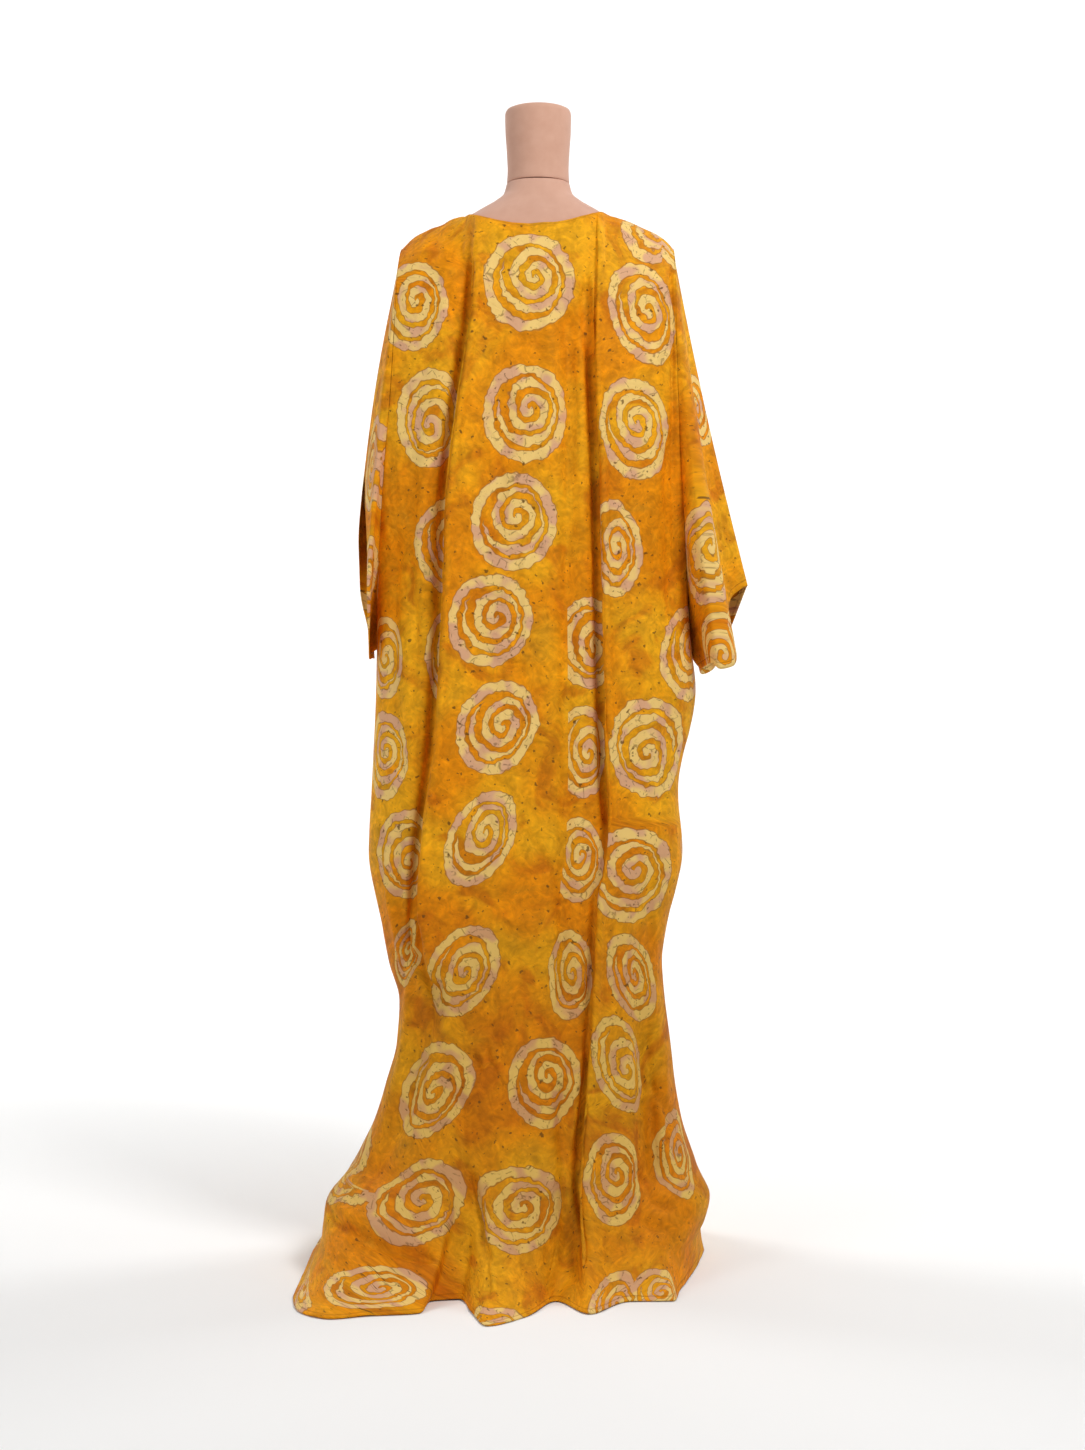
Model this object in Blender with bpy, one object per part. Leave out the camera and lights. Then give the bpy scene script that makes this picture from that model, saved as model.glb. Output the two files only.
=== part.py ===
# Golden wax-resist grand boubou robe, hung on a limbless dress form with a pole and a round base.
# Metres, +Z up. The robe's shown side is its back, which faces -Y, and the base stands on z = 0.

import math
from collections import namedtuple

import bmesh
import bpy
import numpy as np
from mathutils import Vector
from mathutils.bvhtree import BVHTree

# Cloth wall, the gap left at each seam, and the gap between the wall and the form it rests on
WALL = 0.0016
SEAM_GAP = 0.0003
REST_GAP = 0.0008

# Heights where the robe changes: it lies over the shoulders above the first, the armholes end at the
# second, and below the third it spreads to the floor
YOKE_FOOT = 1.270
ARMHOLE_FOOT = 0.830
SKIRT_FOOT = 0.131
HEM_LIFT = 0.0014

# Shoulder line of the robe and the neck cut into it
SHOULDER_TIP = 0.184
NECK_MIDDLE = -0.006
NECK_HALF_WIDTH = 0.096
BACK_NECK_DROP = 0.028
FRONT_NECK_DROP = 0.110

# Dress form and stand
NECK_JOINT = 1.466
NECK_TOP = 1.568
TORSO_FOOT = 0.790
POLE_RADIUS = 0.015
BASE_RADIUS = 0.150
BASE_HEIGHT = 0.018
BASE_ROUNDING = 0.004

# Faces across and down each piece
BACK_COLUMNS = 54
FRONT_COLUMNS = 38
SLEEVE_ROWS = 11
YOKE_SHARES = [0.0, 0.11, 0.22, 0.34, 0.47, 0.62, 0.80]
ARMHOLE_HEIGHTS = [YOKE_FOOT, 1.200, 1.120, 1.040, 0.960, 0.890, ARMHOLE_FOOT]
SKIRT_HEIGHTS = [0.780, 0.720, 0.660, 0.600, 0.545, 0.480, 0.420, 0.365, 0.310, 0.255, 0.190, SKIRT_FOOT]
FOOT_SHARES = [0.18, 0.36, 0.56, 0.78, 1.0]
FORM_SEGMENTS = 28
ROUND_SEGMENTS = 36
SETTLING_PASSES = 6

# The robe's round at each height: x of its two side folds, how far the back and the front stand from
# the middle plane, and how far the side folds themselves stand from it beside the armholes
Section = namedtuple("Section", "height left right back front tuck")
SECTIONS = [
    Section(1.270, -0.191, 0.184, 0.112, 0.120, 0.082),
    Section(1.168, -0.197, 0.187, 0.122, 0.130, 0.084),
    Section(1.080, -0.205, 0.191, 0.126, 0.130, 0.078),
    Section(0.985, -0.212, 0.197, 0.128, 0.128, 0.062),
    Section(0.888, -0.218, 0.204, 0.130, 0.127, 0.030),
    Section(0.830, -0.220, 0.209, 0.131, 0.127, 0.000),
    Section(0.771, -0.221, 0.215, 0.132, 0.128, 0.000),
    Section(0.634, -0.227, 0.191, 0.134, 0.131, 0.000),
    Section(0.553, -0.231, 0.197, 0.136, 0.132, 0.000),
    Section(0.458, -0.214, 0.177, 0.138, 0.132, 0.000),
    Section(0.403, -0.204, 0.169, 0.138, 0.132, 0.000),
    Section(0.349, -0.189, 0.173, 0.140, 0.134, 0.000),
    Section(0.294, -0.192, 0.180, 0.146, 0.139, 0.000),
    Section(0.240, -0.206, 0.186, 0.156, 0.147, 0.000),
    Section(0.185, -0.223, 0.196, 0.170, 0.160, 0.000),
    Section(0.131, -0.249, 0.214, 0.190, 0.178, 0.000),
]
SIDE_ROUNDNESS = 3.0
OPEN_TUCK = 0.050

# Height of the shoulder line by the distance from the middle
ShoulderPoint = namedtuple("ShoulderPoint", "across height")
SHOULDER_LINE = [
    ShoulderPoint(0.000, 1.4215),
    ShoulderPoint(0.096, 1.4205),
    ShoulderPoint(0.130, 1.4095),
    ShoulderPoint(0.155, 1.3985),
    ShoulderPoint(0.172, 1.3880),
    ShoulderPoint(0.184, 1.3760),
]

# A fold runs down one column of its panel. A pleat laps its crest over its valley by about twice the
# lap less its width, a soft fold only swells out, or sinks in where its depth is negative
Fold = namedtuple("Fold", "name kind column width path")
FoldPoint = namedtuple("FoldPoint", "height across depth lap")

BACK_FOLDS = [
    Fold("left hollow", "soft", 0.11, 0.050, [
        FoldPoint(0.131, -0.196, -0.010, 0.0),
        FoldPoint(0.240, -0.172, -0.012, 0.0),
        FoldPoint(0.349, -0.160, -0.008, 0.0),
        FoldPoint(0.458, -0.192, 0.000, 0.0),
        FoldPoint(0.851, -0.180, -0.004, 0.0),
        FoldPoint(1.100, -0.165, -0.006, 0.0),
        FoldPoint(1.270, -0.145, -0.003, 0.0),
    ]),
    Fold("left pleat", "pleat", 0.26, 0.045, [
        FoldPoint(0.131, -0.120, 0.002, 0.000),
        FoldPoint(0.349, -0.128, 0.002, 0.000),
        FoldPoint(0.415, -0.150, 0.008, 0.006),
        FoldPoint(0.474, -0.155, 0.011, 0.013),
        FoldPoint(0.578, -0.149, 0.012, 0.016),
        FoldPoint(0.684, -0.134, 0.012, 0.016),
        FoldPoint(0.851, -0.124, 0.012, 0.015),
        FoldPoint(1.020, -0.119, 0.011, 0.014),
        FoldPoint(1.192, -0.099, 0.009, 0.011),
        FoldPoint(1.270, -0.088, 0.006, 0.007),
    ]),
    Fold("centre swell", "soft", 0.45, 0.070, [
        FoldPoint(0.131, -0.050, 0.012, 0.0),
        FoldPoint(0.349, -0.045, 0.008, 0.0),
        FoldPoint(0.684, -0.035, 0.006, 0.0),
        FoldPoint(1.270, -0.020, 0.001, 0.0),
    ]),
    Fold("right pleat", "pleat", 0.66, 0.045, [
        FoldPoint(0.131, 0.058, 0.016, 0.018),
        FoldPoint(0.240, 0.066, 0.013, 0.013),
        FoldPoint(0.349, 0.073, 0.010, 0.010),
        FoldPoint(0.474, 0.078, 0.008, 0.008),
        FoldPoint(0.585, 0.096, 0.010, 0.011),
        FoldPoint(0.684, 0.097, 0.013, 0.017),
        FoldPoint(0.888, 0.092, 0.013, 0.017),
        FoldPoint(1.046, 0.088, 0.012, 0.016),
        FoldPoint(1.152, 0.081, 0.010, 0.013),
        FoldPoint(1.270, 0.078, 0.006, 0.007),
    ]),
    Fold("right hollow", "soft", 0.84, 0.045, [
        FoldPoint(0.131, 0.143, -0.018, 0.0),
        FoldPoint(0.240, 0.137, -0.018, 0.0),
        FoldPoint(0.349, 0.134, -0.014, 0.0),
        FoldPoint(0.474, 0.136, -0.006, 0.0),
        FoldPoint(0.684, 0.150, 0.002, 0.0),
        FoldPoint(1.270, 0.140, 0.001, 0.0),
    ]),
]

FRONT_FOLDS = [
    Fold("left hollow", "soft", 0.18, 0.050, [
        FoldPoint(0.131, -0.165, -0.018, 0.0),
        FoldPoint(0.458, -0.145, -0.012, 0.0),
        FoldPoint(0.888, -0.140, -0.010, 0.0),
        FoldPoint(1.270, -0.130, -0.002, 0.0),
    ]),
    Fold("left pleat", "pleat", 0.38, 0.055, [
        FoldPoint(0.131, -0.055, 0.010, 0.008),
        FoldPoint(0.458, -0.062, 0.010, 0.010),
        FoldPoint(0.888, -0.070, 0.010, 0.010),
        FoldPoint(1.270, -0.064, 0.003, 0.002),
    ]),
    Fold("centre swell", "soft", 0.58, 0.060, [
        FoldPoint(0.131, 0.035, 0.014, 0.0),
        FoldPoint(0.458, 0.025, 0.010, 0.0),
        FoldPoint(0.888, 0.022, 0.008, 0.0),
        FoldPoint(1.270, 0.020, 0.001, 0.0),
    ]),
    Fold("right hollow", "soft", 0.79, 0.055, [
        FoldPoint(0.131, 0.125, -0.018, 0.0),
        FoldPoint(0.458, 0.108, -0.014, 0.0),
        FoldPoint(0.888, 0.115, -0.010, 0.0),
        FoldPoint(1.270, 0.120, -0.002, 0.0),
    ]),
]

# The hem where it lies on the floor, by the column of the panel
HemPoint = namedtuple("HemPoint", "column x out")
BACK_HEM = [
    HemPoint(0.00, -0.309, 0.000),
    HemPoint(0.04, -0.309, 0.120),
    HemPoint(0.08, -0.308, 0.240),
    HemPoint(0.12, -0.296, 0.311),
    HemPoint(0.17, -0.252, 0.347),
    HemPoint(0.22, -0.211, 0.334),
    HemPoint(0.29, -0.144, 0.320),
    HemPoint(0.32, -0.135, 0.266),
    HemPoint(0.36, -0.098, 0.257),
    HemPoint(0.40, -0.083, 0.311),
    HemPoint(0.45, -0.061, 0.378),
    HemPoint(0.53, -0.012, 0.334),
    HemPoint(0.60, 0.023, 0.266),
    HemPoint(0.68, 0.064, 0.325),
    HemPoint(0.76, 0.116, 0.266),
    HemPoint(0.83, 0.171, 0.264),
    HemPoint(0.87, 0.181, 0.216),
    HemPoint(0.91, 0.194, 0.165),
    HemPoint(0.96, 0.218, 0.060),
    HemPoint(1.00, 0.228, 0.000),
]
FRONT_HEM = [
    HemPoint(0.00, -0.309, 0.000),
    HemPoint(0.08, -0.302, 0.130),
    HemPoint(0.18, -0.240, 0.240),
    HemPoint(0.28, -0.150, 0.285),
    HemPoint(0.38, -0.065, 0.262),
    HemPoint(0.48, -0.012, 0.300),
    HemPoint(0.60, 0.050, 0.312),
    HemPoint(0.72, 0.122, 0.262),
    HemPoint(0.84, 0.186, 0.200),
    HemPoint(0.93, 0.222, 0.095),
    HemPoint(1.00, 0.228, 0.000),
]

# How the skirt comes down on the floor: share of the way out to the hem, height of the cloth, and how
# far its left and its right side swell out there
FootPoint = namedtuple("FootPoint", "share height left right")
FOOT = [
    FootPoint(0.00, 0.131, 0.000, 0.000),
    FootPoint(0.18, 0.094, 0.021, 0.012),
    FootPoint(0.36, 0.062, 0.019, 0.008),
    FootPoint(0.56, 0.036, 0.010, 0.001),
    FootPoint(0.78, 0.014, 0.005, 0.000),
    FootPoint(1.00, HEM_LIFT, 0.000, 0.000),
]

# How much of that swell each column takes, by its distance from the side edge of its panel
SwellPoint = namedtuple("SwellPoint", "away part")
SWELL = {
    "back": [SwellPoint(0.00, 0.35), SwellPoint(0.05, 1.00), SwellPoint(0.12, 1.00), SwellPoint(0.20, 0.00)],
    "front": [SwellPoint(0.00, 0.35), SwellPoint(0.16, 0.00)],
}

# The edge of each cuff, from the underarm round the back to the overarm and on round the front
CuffPoint = namedtuple("CuffPoint", "turn x y z")
RIGHT_CUFF = [
    CuffPoint(0.00, 0.224, -0.0030, 0.800),
    CuffPoint(0.08, 0.226, -0.0500, 0.803),
    CuffPoint(0.16, 0.231, -0.0950, 0.806),
    CuffPoint(0.24, 0.242, -0.1120, 0.797),
    CuffPoint(0.31, 0.260, -0.1000, 0.802),
    CuffPoint(0.36, 0.266, -0.0750, 0.818),
    CuffPoint(0.41, 0.257, -0.0450, 0.868),
    CuffPoint(0.44, 0.263, -0.0220, 0.896),
    CuffPoint(0.50, 0.288, 0.0020, 0.915),
    CuffPoint(0.56, 0.284, 0.0350, 0.900),
    CuffPoint(0.66, 0.266, 0.0850, 0.845),
    CuffPoint(0.76, 0.249, 0.1150, 0.802),
    CuffPoint(0.86, 0.233, 0.0950, 0.795),
    CuffPoint(0.93, 0.226, 0.0500, 0.798),
    CuffPoint(1.00, 0.224, 0.0030, 0.800),
]
LEFT_CUFF = [
    CuffPoint(0.00, -0.228, -0.0030, 0.815),
    CuffPoint(0.08, -0.228, -0.0450, 0.812),
    CuffPoint(0.18, -0.226, -0.0850, 0.828),
    CuffPoint(0.28, -0.228, -0.0900, 0.890),
    CuffPoint(0.36, -0.229, -0.0700, 0.950),
    CuffPoint(0.43, -0.2345, -0.0350, 1.020),
    CuffPoint(0.50, -0.2385, 0.0000, 1.068),
    CuffPoint(0.57, -0.2455, 0.0250, 1.030),
    CuffPoint(0.64, -0.2505, 0.0450, 0.975),
    CuffPoint(0.72, -0.2500, 0.0620, 0.915),
    CuffPoint(0.80, -0.2410, 0.0680, 0.865),
    CuffPoint(0.88, -0.2325, 0.0560, 0.830),
    CuffPoint(0.95, -0.2275, 0.0280, 0.815),
    CuffPoint(1.00, -0.228, 0.0030, 0.815),
]
RIGHT_SLEEVE_BULGE = -0.004
LEFT_SLEEVE_BULGE = 0.006

# Dress form: half width and the depths of its back and its front at each height
FormSection = namedtuple("FormSection", "height half_width back front")
TORSO = [
    FormSection(NECK_JOINT - SEAM_GAP, 0.0430, 0.0430, 0.0430),
    FormSection(1.4500, 0.0480, 0.0500, 0.0470),
    FormSection(1.4390, 0.0650, 0.0570, 0.0520),
    FormSection(1.4280, 0.0840, 0.0640, 0.0580),
    FormSection(1.4180, 0.0970, 0.0700, 0.0640),
    FormSection(1.4060, 0.1220, 0.0760, 0.0700),
    FormSection(1.3950, 0.1480, 0.0810, 0.0760),
    FormSection(1.3840, 0.1630, 0.0850, 0.0810),
    FormSection(1.3700, 0.1730, 0.0900, 0.0880),
    FormSection(1.3500, 0.1790, 0.0960, 0.0960),
    FormSection(1.3000, 0.1780, 0.1020, 0.1060),
    FormSection(1.2300, 0.1680, 0.1060, 0.1180),
    FormSection(1.1500, 0.1480, 0.1020, 0.1100),
    FormSection(1.0700, 0.1280, 0.0920, 0.0960),
    FormSection(1.0200, 0.1230, 0.0880, 0.0900),
    FormSection(0.9500, 0.1410, 0.0980, 0.0960),
    FormSection(0.8700, 0.1620, 0.1120, 0.1020),
    FormSection(TORSO_FOOT, 0.1600, 0.1100, 0.1000),
]
TORSO_ROUNDNESS = 2.3
NECK = [
    FormSection(NECK_TOP, 0.0400, 0.0400, 0.0400),
    FormSection(NECK_TOP - 0.0020, 0.0440, 0.0440, 0.0440),
    FormSection(NECK_TOP - 0.0080, 0.0455, 0.0455, 0.0455),
    FormSection(1.5380, 0.0450, 0.0450, 0.0450),
    FormSection(1.5080, 0.0430, 0.0430, 0.0430),
    FormSection(1.4850, 0.0420, 0.0420, 0.0420),
    FormSection(NECK_JOINT, 0.0430, 0.0430, 0.0430),
]
NECK_ROUNDNESS = 2.0

# Finishes: colour, roughness and metallic value of each kind of material
COTTON = ("golden cotton", (0.74, 0.33, 0.018), 0.72, 0.0)
JERSEY = ("form jersey", (0.60, 0.33, 0.24), 0.80, 0.0)
BLACK_STEEL = ("black steel", (0.02, 0.02, 0.022), 0.45, 0.8)


def clear_scene():
    for item in list(bpy.data.objects):
        bpy.data.objects.remove(item, do_unlink=True)


def smooth(keys, values, at):
    # A curve through a table's values that never overshoots them
    keys = np.asarray(keys, dtype=float)
    values = np.asarray(values, dtype=float)
    step = np.diff(keys)
    rise = np.diff(values) / step
    slope = np.zeros(len(keys))
    slope[0] = rise[0]
    slope[-1] = rise[-1]
    steady = np.nonzero(rise[:-1] * rise[1:] > 0)[0]
    slope[steady + 1] = 2 / (1 / rise[steady] + 1 / rise[steady + 1])
    at = np.clip(at, keys[0], keys[-1])
    i = np.clip(np.searchsorted(keys, at, side="right") - 1, 0, len(step) - 1)
    t = (at - keys[i]) / step[i]
    start = (1 + 2 * t) * (1 - t) ** 2 * values[i] + t * (1 - t) ** 2 * step[i] * slope[i]
    end = t * t * (3 - 2 * t) * values[i + 1] + t * t * (t - 1) * step[i] * slope[i + 1]
    return start + end


def read(rows, key, column, at):
    # One column of a table, read smoothly where its key column has the value given
    ordered = sorted(rows, key=lambda row: getattr(row, key))
    keys = [getattr(row, key) for row in ordered]
    return smooth(keys, [getattr(row, column) for row in ordered], at)


def make_material(finish):
    name, colour, roughness, metallic = finish
    material = bpy.data.materials.get(name) or bpy.data.materials.new(name)
    material.use_nodes = True
    shader = material.node_tree.nodes["Principled BSDF"]
    shader.inputs["Base Color"].default_value = (*colour, 1.0)
    shader.inputs["Roughness"].default_value = roughness
    shader.inputs["Metallic"].default_value = metallic
    return material


def make_object(name, points, faces, finish):
    mesh = bpy.data.meshes.new(name)
    mesh.from_pydata([tuple(point) for point in points], [], faces)
    shape = bmesh.new()
    shape.from_mesh(mesh)
    bmesh.ops.recalc_face_normals(shape, faces=shape.faces)
    bmesh.ops.triangulate(shape, faces=shape.faces)
    if shape.calc_volume(signed=True) < 0:
        bmesh.ops.reverse_faces(shape, faces=shape.faces)
    shape.to_mesh(mesh)
    shape.free()
    mesh.shade_smooth()
    mesh.set_sharp_from_angle(angle=math.radians(50))
    mesh.materials.append(make_material(finish))
    item = bpy.data.objects.new(name, mesh)
    bpy.context.scene.collection.objects.link(item)
    return item


def make_rings(name, rings, finish):
    # A closed body through rings of equal length, from the top ring down, with flat ends
    count = len(rings[0])
    points = [point for ring in rings for point in ring]
    faces = [list(range(count))]
    for row in range(len(rings) - 1):
        for i in range(count):
            j = (i + 1) % count
            faces.append([row * count + i, row * count + j,
                          (row + 1) * count + j, (row + 1) * count + i])
    last = (len(rings) - 1) * count
    faces.append([last + i for i in reversed(range(count))])
    return make_object(name, points, faces, finish)


def form_ring(section, roundness):
    ring = []
    for i in range(FORM_SEGMENTS):
        angle = 2 * math.pi * i / FORM_SEGMENTS
        across = math.copysign(abs(math.cos(angle)) ** (2 / roundness), math.cos(angle))
        along = math.copysign(abs(math.sin(angle)) ** (2 / roundness), math.sin(angle))
        depth = section.front if along > 0 else section.back
        ring.append((section.half_width * across, depth * along, section.height))
    return ring


def round_ring(radius, height):
    return [(radius * math.cos(2 * math.pi * i / ROUND_SEGMENTS),
             radius * math.sin(2 * math.pi * i / ROUND_SEGMENTS), height)
            for i in range(ROUND_SEGMENTS)]


def make_form():
    torso = make_rings("form_torso", [form_ring(row, TORSO_ROUNDNESS) for row in TORSO], JERSEY)
    make_rings("form_neck", [form_ring(row, NECK_ROUNDNESS) for row in NECK], JERSEY)
    pole_top = TORSO_FOOT - SEAM_GAP
    pole_foot = BASE_HEIGHT + SEAM_GAP
    make_rings("stand_pole", [round_ring(POLE_RADIUS, pole_top),
                              round_ring(POLE_RADIUS, pole_foot)], BLACK_STEEL)
    make_rings("stand_base", [round_ring(BASE_RADIUS - BASE_ROUNDING, BASE_HEIGHT),
                              round_ring(BASE_RADIUS, BASE_HEIGHT - BASE_ROUNDING),
                              round_ring(BASE_RADIUS, 0.0)], BLACK_STEEL)
    return torso


def surface_of(item):
    shape = bmesh.new()
    shape.from_mesh(item.data)
    tree = BVHTree.FromBMesh(shape)
    shape.free()
    return tree


def lift_clear(point, tree, clearance):
    # The move that brings a point of the cloth clear of the form, or nothing where it is clear already
    place, normal, _, distance = tree.find_nearest(Vector(point))
    height = distance if (Vector(point) - place).dot(normal) >= 0 else -distance
    return normal * max(clearance - height, 0.0)


def rest_on(points, tree):
    # Cloth that would enter the form lies on it instead, with its wall just clear, also between its points
    clearance = WALL / 2 + REST_GAP
    rested = points.copy()
    for index in np.ndindex(points.shape[:2]):
        rested[index] += lift_clear(rested[index], tree, clearance)
    for _ in range(SETTLING_PASSES):
        for r in range(points.shape[0] - 1):
            for c in range(points.shape[1] - 1):
                cell = rested[r:r + 2, c:c + 2]
                middles = [cell[0, 0] + cell[1, 1], cell[0, 1] + cell[1, 0],
                           cell[0, 0] + cell[0, 1], cell[0, 0] + cell[1, 0]]
                for middle in middles:
                    cell += np.array(lift_clear(middle / 2, tree, clearance))
    return rested


def make_wall(name, points, finish):
    # A closed wall of even thickness about a grid of points
    down = np.gradient(points, axis=0)
    across = np.gradient(points, axis=1)
    normal = np.cross(across, down)
    normal /= np.linalg.norm(normal, axis=2, keepdims=True)
    rows, columns = points.shape[:2]
    outer = (points + normal * WALL / 2).reshape(-1, 3)
    inner = (points - normal * WALL / 2).reshape(-1, 3)
    shift = rows * columns
    faces = []
    for r in range(rows - 1):
        for c in range(columns - 1):
            a = r * columns + c
            b, d, e = a + 1, a + columns, a + columns + 1
            faces.append([a, b, e, d])
            faces.append([shift + a, shift + d, shift + e, shift + b])
    rim = [c for c in range(columns)]
    rim += [r * columns + columns - 1 for r in range(1, rows)]
    rim += [(rows - 1) * columns + c for c in range(columns - 2, -1, -1)]
    rim += [r * columns for r in range(rows - 2, 0, -1)]
    for i, a in enumerate(rim):
        b = rim[(i + 1) % len(rim)]
        faces.append([a, shift + a, shift + b, b])
    return make_object(name, np.vstack([outer, inner]), faces, finish)


def hang_row(side, folds, height, columns):
    # One row of a panel where it hangs free: x of each column, and its distance from the middle plane
    left = read(SECTIONS, "height", "left", height)
    right = read(SECTIONS, "height", "right", height)
    depth = read(SECTIONS, "height", side, height)
    tuck = read(SECTIONS, "height", "tuck", height) + SEAM_GAP / 2
    middle = (left + right) / 2
    half = (right - left) / 2
    place = [-1.0]
    for fold in folds:
        across = read(fold.path, "height", "across", height)
        place.append(2 / math.pi * math.asin((across - middle) / half))
    place.append(1.0)
    turn = np.interp(columns, [0.0] + [fold.column for fold in folds] + [1.0], place)
    across = np.sin(math.pi / 2 * turn)
    gentle = np.maximum(1 - np.abs(across) ** SIDE_ROUNDNESS, 0)
    opened = min(max(tuck / OPEN_TUCK, 0.0), 1.0)
    bow = opened * gentle + (1 - opened) * gentle ** (1 / SIDE_ROUNDNESS)
    x = middle + half * across
    out = tuck + (depth - tuck) * bow
    fade = 1 - np.abs(2 * columns - 1) ** 10
    for fold in folds:
        t = (columns - fold.column) / fold.width
        deep = read(fold.path, "height", "depth", height) * fade
        if fold.kind == "pleat":
            lean = math.sqrt(2 * math.e) * t * np.exp(-t * t)
            out = out + deep * lean
            x = x - read(fold.path, "height", "lap", height) * lean * fade
        else:
            out = out + deep * np.exp(-t * t)
    return x, out


def form_out(side, x, height):
    # How far the form's surface stands from the middle plane
    share = np.abs(x) / read(TORSO, "height", "half_width", height)
    depth = read(TORSO, "height", side, height)
    return depth * np.maximum(1 - share ** TORSO_ROUNDNESS, 0) ** (1 / TORSO_ROUNDNESS)


def yoke_rows(side, folds, columns):
    # Rows from the shoulder line and the neck cut down to the foot of the yoke
    foot_x, foot_out = hang_row(side, folds, YOKE_FOOT, columns)
    middle = (foot_x[0] + foot_x[-1]) / 2
    top_x = (foot_x - middle) / (foot_x[-1] - middle) * SHOULDER_TIP
    top_z = read(SHOULDER_LINE, "across", "height", np.abs(top_x))
    neck = np.maximum(1 - ((top_x - NECK_MIDDLE) / NECK_HALF_WIDTH) ** 2, 0)
    drop = BACK_NECK_DROP if side == "back" else FRONT_NECK_DROP
    top_z = top_z - drop * neck
    top_out = SEAM_GAP / 2 + np.where(neck > 0, form_out(side, top_x, top_z), 0)
    rows = []
    for share in YOKE_SHARES:
        angle = math.pi / 2 * share
        x = top_x + (foot_x - top_x) * share
        out = top_out + (foot_out - top_out) * math.sin(angle)
        z = YOKE_FOOT + (top_z - YOKE_FOOT) * math.cos(angle)
        rows.append(np.stack([x, out, z], axis=1))
    return rows


def foot_rows(side, folds, hem, columns):
    # Rows from the foot of the skirt out to the hem on the floor
    top_x, top_out = hang_row(side, folds, SKIRT_FOOT, columns)
    hem_x = read(hem, "column", "x", columns)
    hem_out = read(hem, "column", "out", columns) + SEAM_GAP / 2
    rows = []
    for share in FOOT_SHARES:
        x = top_x + (hem_x - top_x) * share
        x = x - read(FOOT, "share", "left", share) * read(SWELL[side], "away", "part", columns)
        x = x + read(FOOT, "share", "right", share) * read(SWELL[side], "away", "part", 1 - columns)
        out = top_out + (hem_out - top_out) * share
        z = np.full(len(columns), float(read(FOOT, "share", "height", share)))
        rows.append(np.stack([x, out, z], axis=1))
    return rows


def panel_points(side, folds, hem, column_count):
    columns = np.linspace(0, 1, column_count + 1)
    rows = yoke_rows(side, folds, columns)
    for height in ARMHOLE_HEIGHTS + SKIRT_HEIGHTS:
        x, out = hang_row(side, folds, height, columns)
        rows.append(np.stack([x, out, np.full(len(columns), height)], axis=1))
    rows += foot_rows(side, folds, hem, columns)
    points = np.array(rows)
    if side == "back":
        points[:, :, 1] *= -1
    return points


def sleeve_points(hand, back, front, cuff, bulge):
    # A sleeve from the side edges of both panels, between the underarm and the shoulder, to its cuff
    last = len(YOKE_SHARES) + len(ARMHOLE_HEIGHTS) - 1
    edge = -1 if hand > 0 else 0
    armhole = np.vstack([back[last::-1, edge], front[1:last + 1, edge]])
    turns = np.linspace(0, 1, len(armhole))
    clear = WALL / 2 + SEAM_GAP
    armhole[:, 0] += hand * clear * (1 + 0.9 * (2 * turns - 1) ** 2)
    armhole[:, 2] -= clear * 0.65 * (1 - np.abs(2 * turns - 1))
    armhole[0, 1] = -clear - SEAM_GAP
    armhole[-1, 1] = clear + SEAM_GAP
    ends = np.stack([read(cuff, "turn", axis, turns) for axis in "xyz"], axis=1)
    rows = []
    for share in np.linspace(0, 1, SLEEVE_ROWS + 1):
        row = armhole + (ends - armhole) * share
        row[:, 0] += hand * bulge * math.sin(math.pi * share)
        rows.append(row)
    return np.array(rows)


def make_robe(tree):
    back = rest_on(panel_points("back", BACK_FOLDS, BACK_HEM, BACK_COLUMNS), tree)
    front = rest_on(panel_points("front", FRONT_FOLDS, FRONT_HEM, FRONT_COLUMNS), tree)
    make_wall("back_panel", back, COTTON)
    make_wall("front_panel", front, COTTON)
    left = sleeve_points(-1, back, front, LEFT_CUFF, LEFT_SLEEVE_BULGE)
    right = sleeve_points(1, back, front, RIGHT_CUFF, RIGHT_SLEEVE_BULGE)
    make_wall("sleeve_left", rest_on(left, tree), COTTON)
    make_wall("sleeve_right", rest_on(right, tree), COTTON)


clear_scene()
torso_surface = surface_of(make_form())
make_robe(torso_surface)
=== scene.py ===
import math
from collections import namedtuple

import bmesh
import bpy
import numpy as np
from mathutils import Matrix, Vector, noise
from mathutils.bvhtree import BVHTree


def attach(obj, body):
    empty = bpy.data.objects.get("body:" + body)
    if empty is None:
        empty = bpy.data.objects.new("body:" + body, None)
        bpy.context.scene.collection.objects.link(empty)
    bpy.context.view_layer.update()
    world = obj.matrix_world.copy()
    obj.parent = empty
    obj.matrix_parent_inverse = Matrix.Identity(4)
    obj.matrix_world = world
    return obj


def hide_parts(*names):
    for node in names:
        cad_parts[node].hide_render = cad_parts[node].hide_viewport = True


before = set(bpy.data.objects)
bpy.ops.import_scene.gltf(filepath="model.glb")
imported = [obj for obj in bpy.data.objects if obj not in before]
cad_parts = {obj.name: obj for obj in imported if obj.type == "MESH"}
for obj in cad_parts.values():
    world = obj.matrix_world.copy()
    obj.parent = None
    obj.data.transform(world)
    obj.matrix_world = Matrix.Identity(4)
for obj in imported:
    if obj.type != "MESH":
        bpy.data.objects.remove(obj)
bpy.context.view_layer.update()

# Golden grand boubou in spiral wax-resist cotton, on a limbless dress form. The shown side is the back, at -Y
print("frame loaded")

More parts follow.
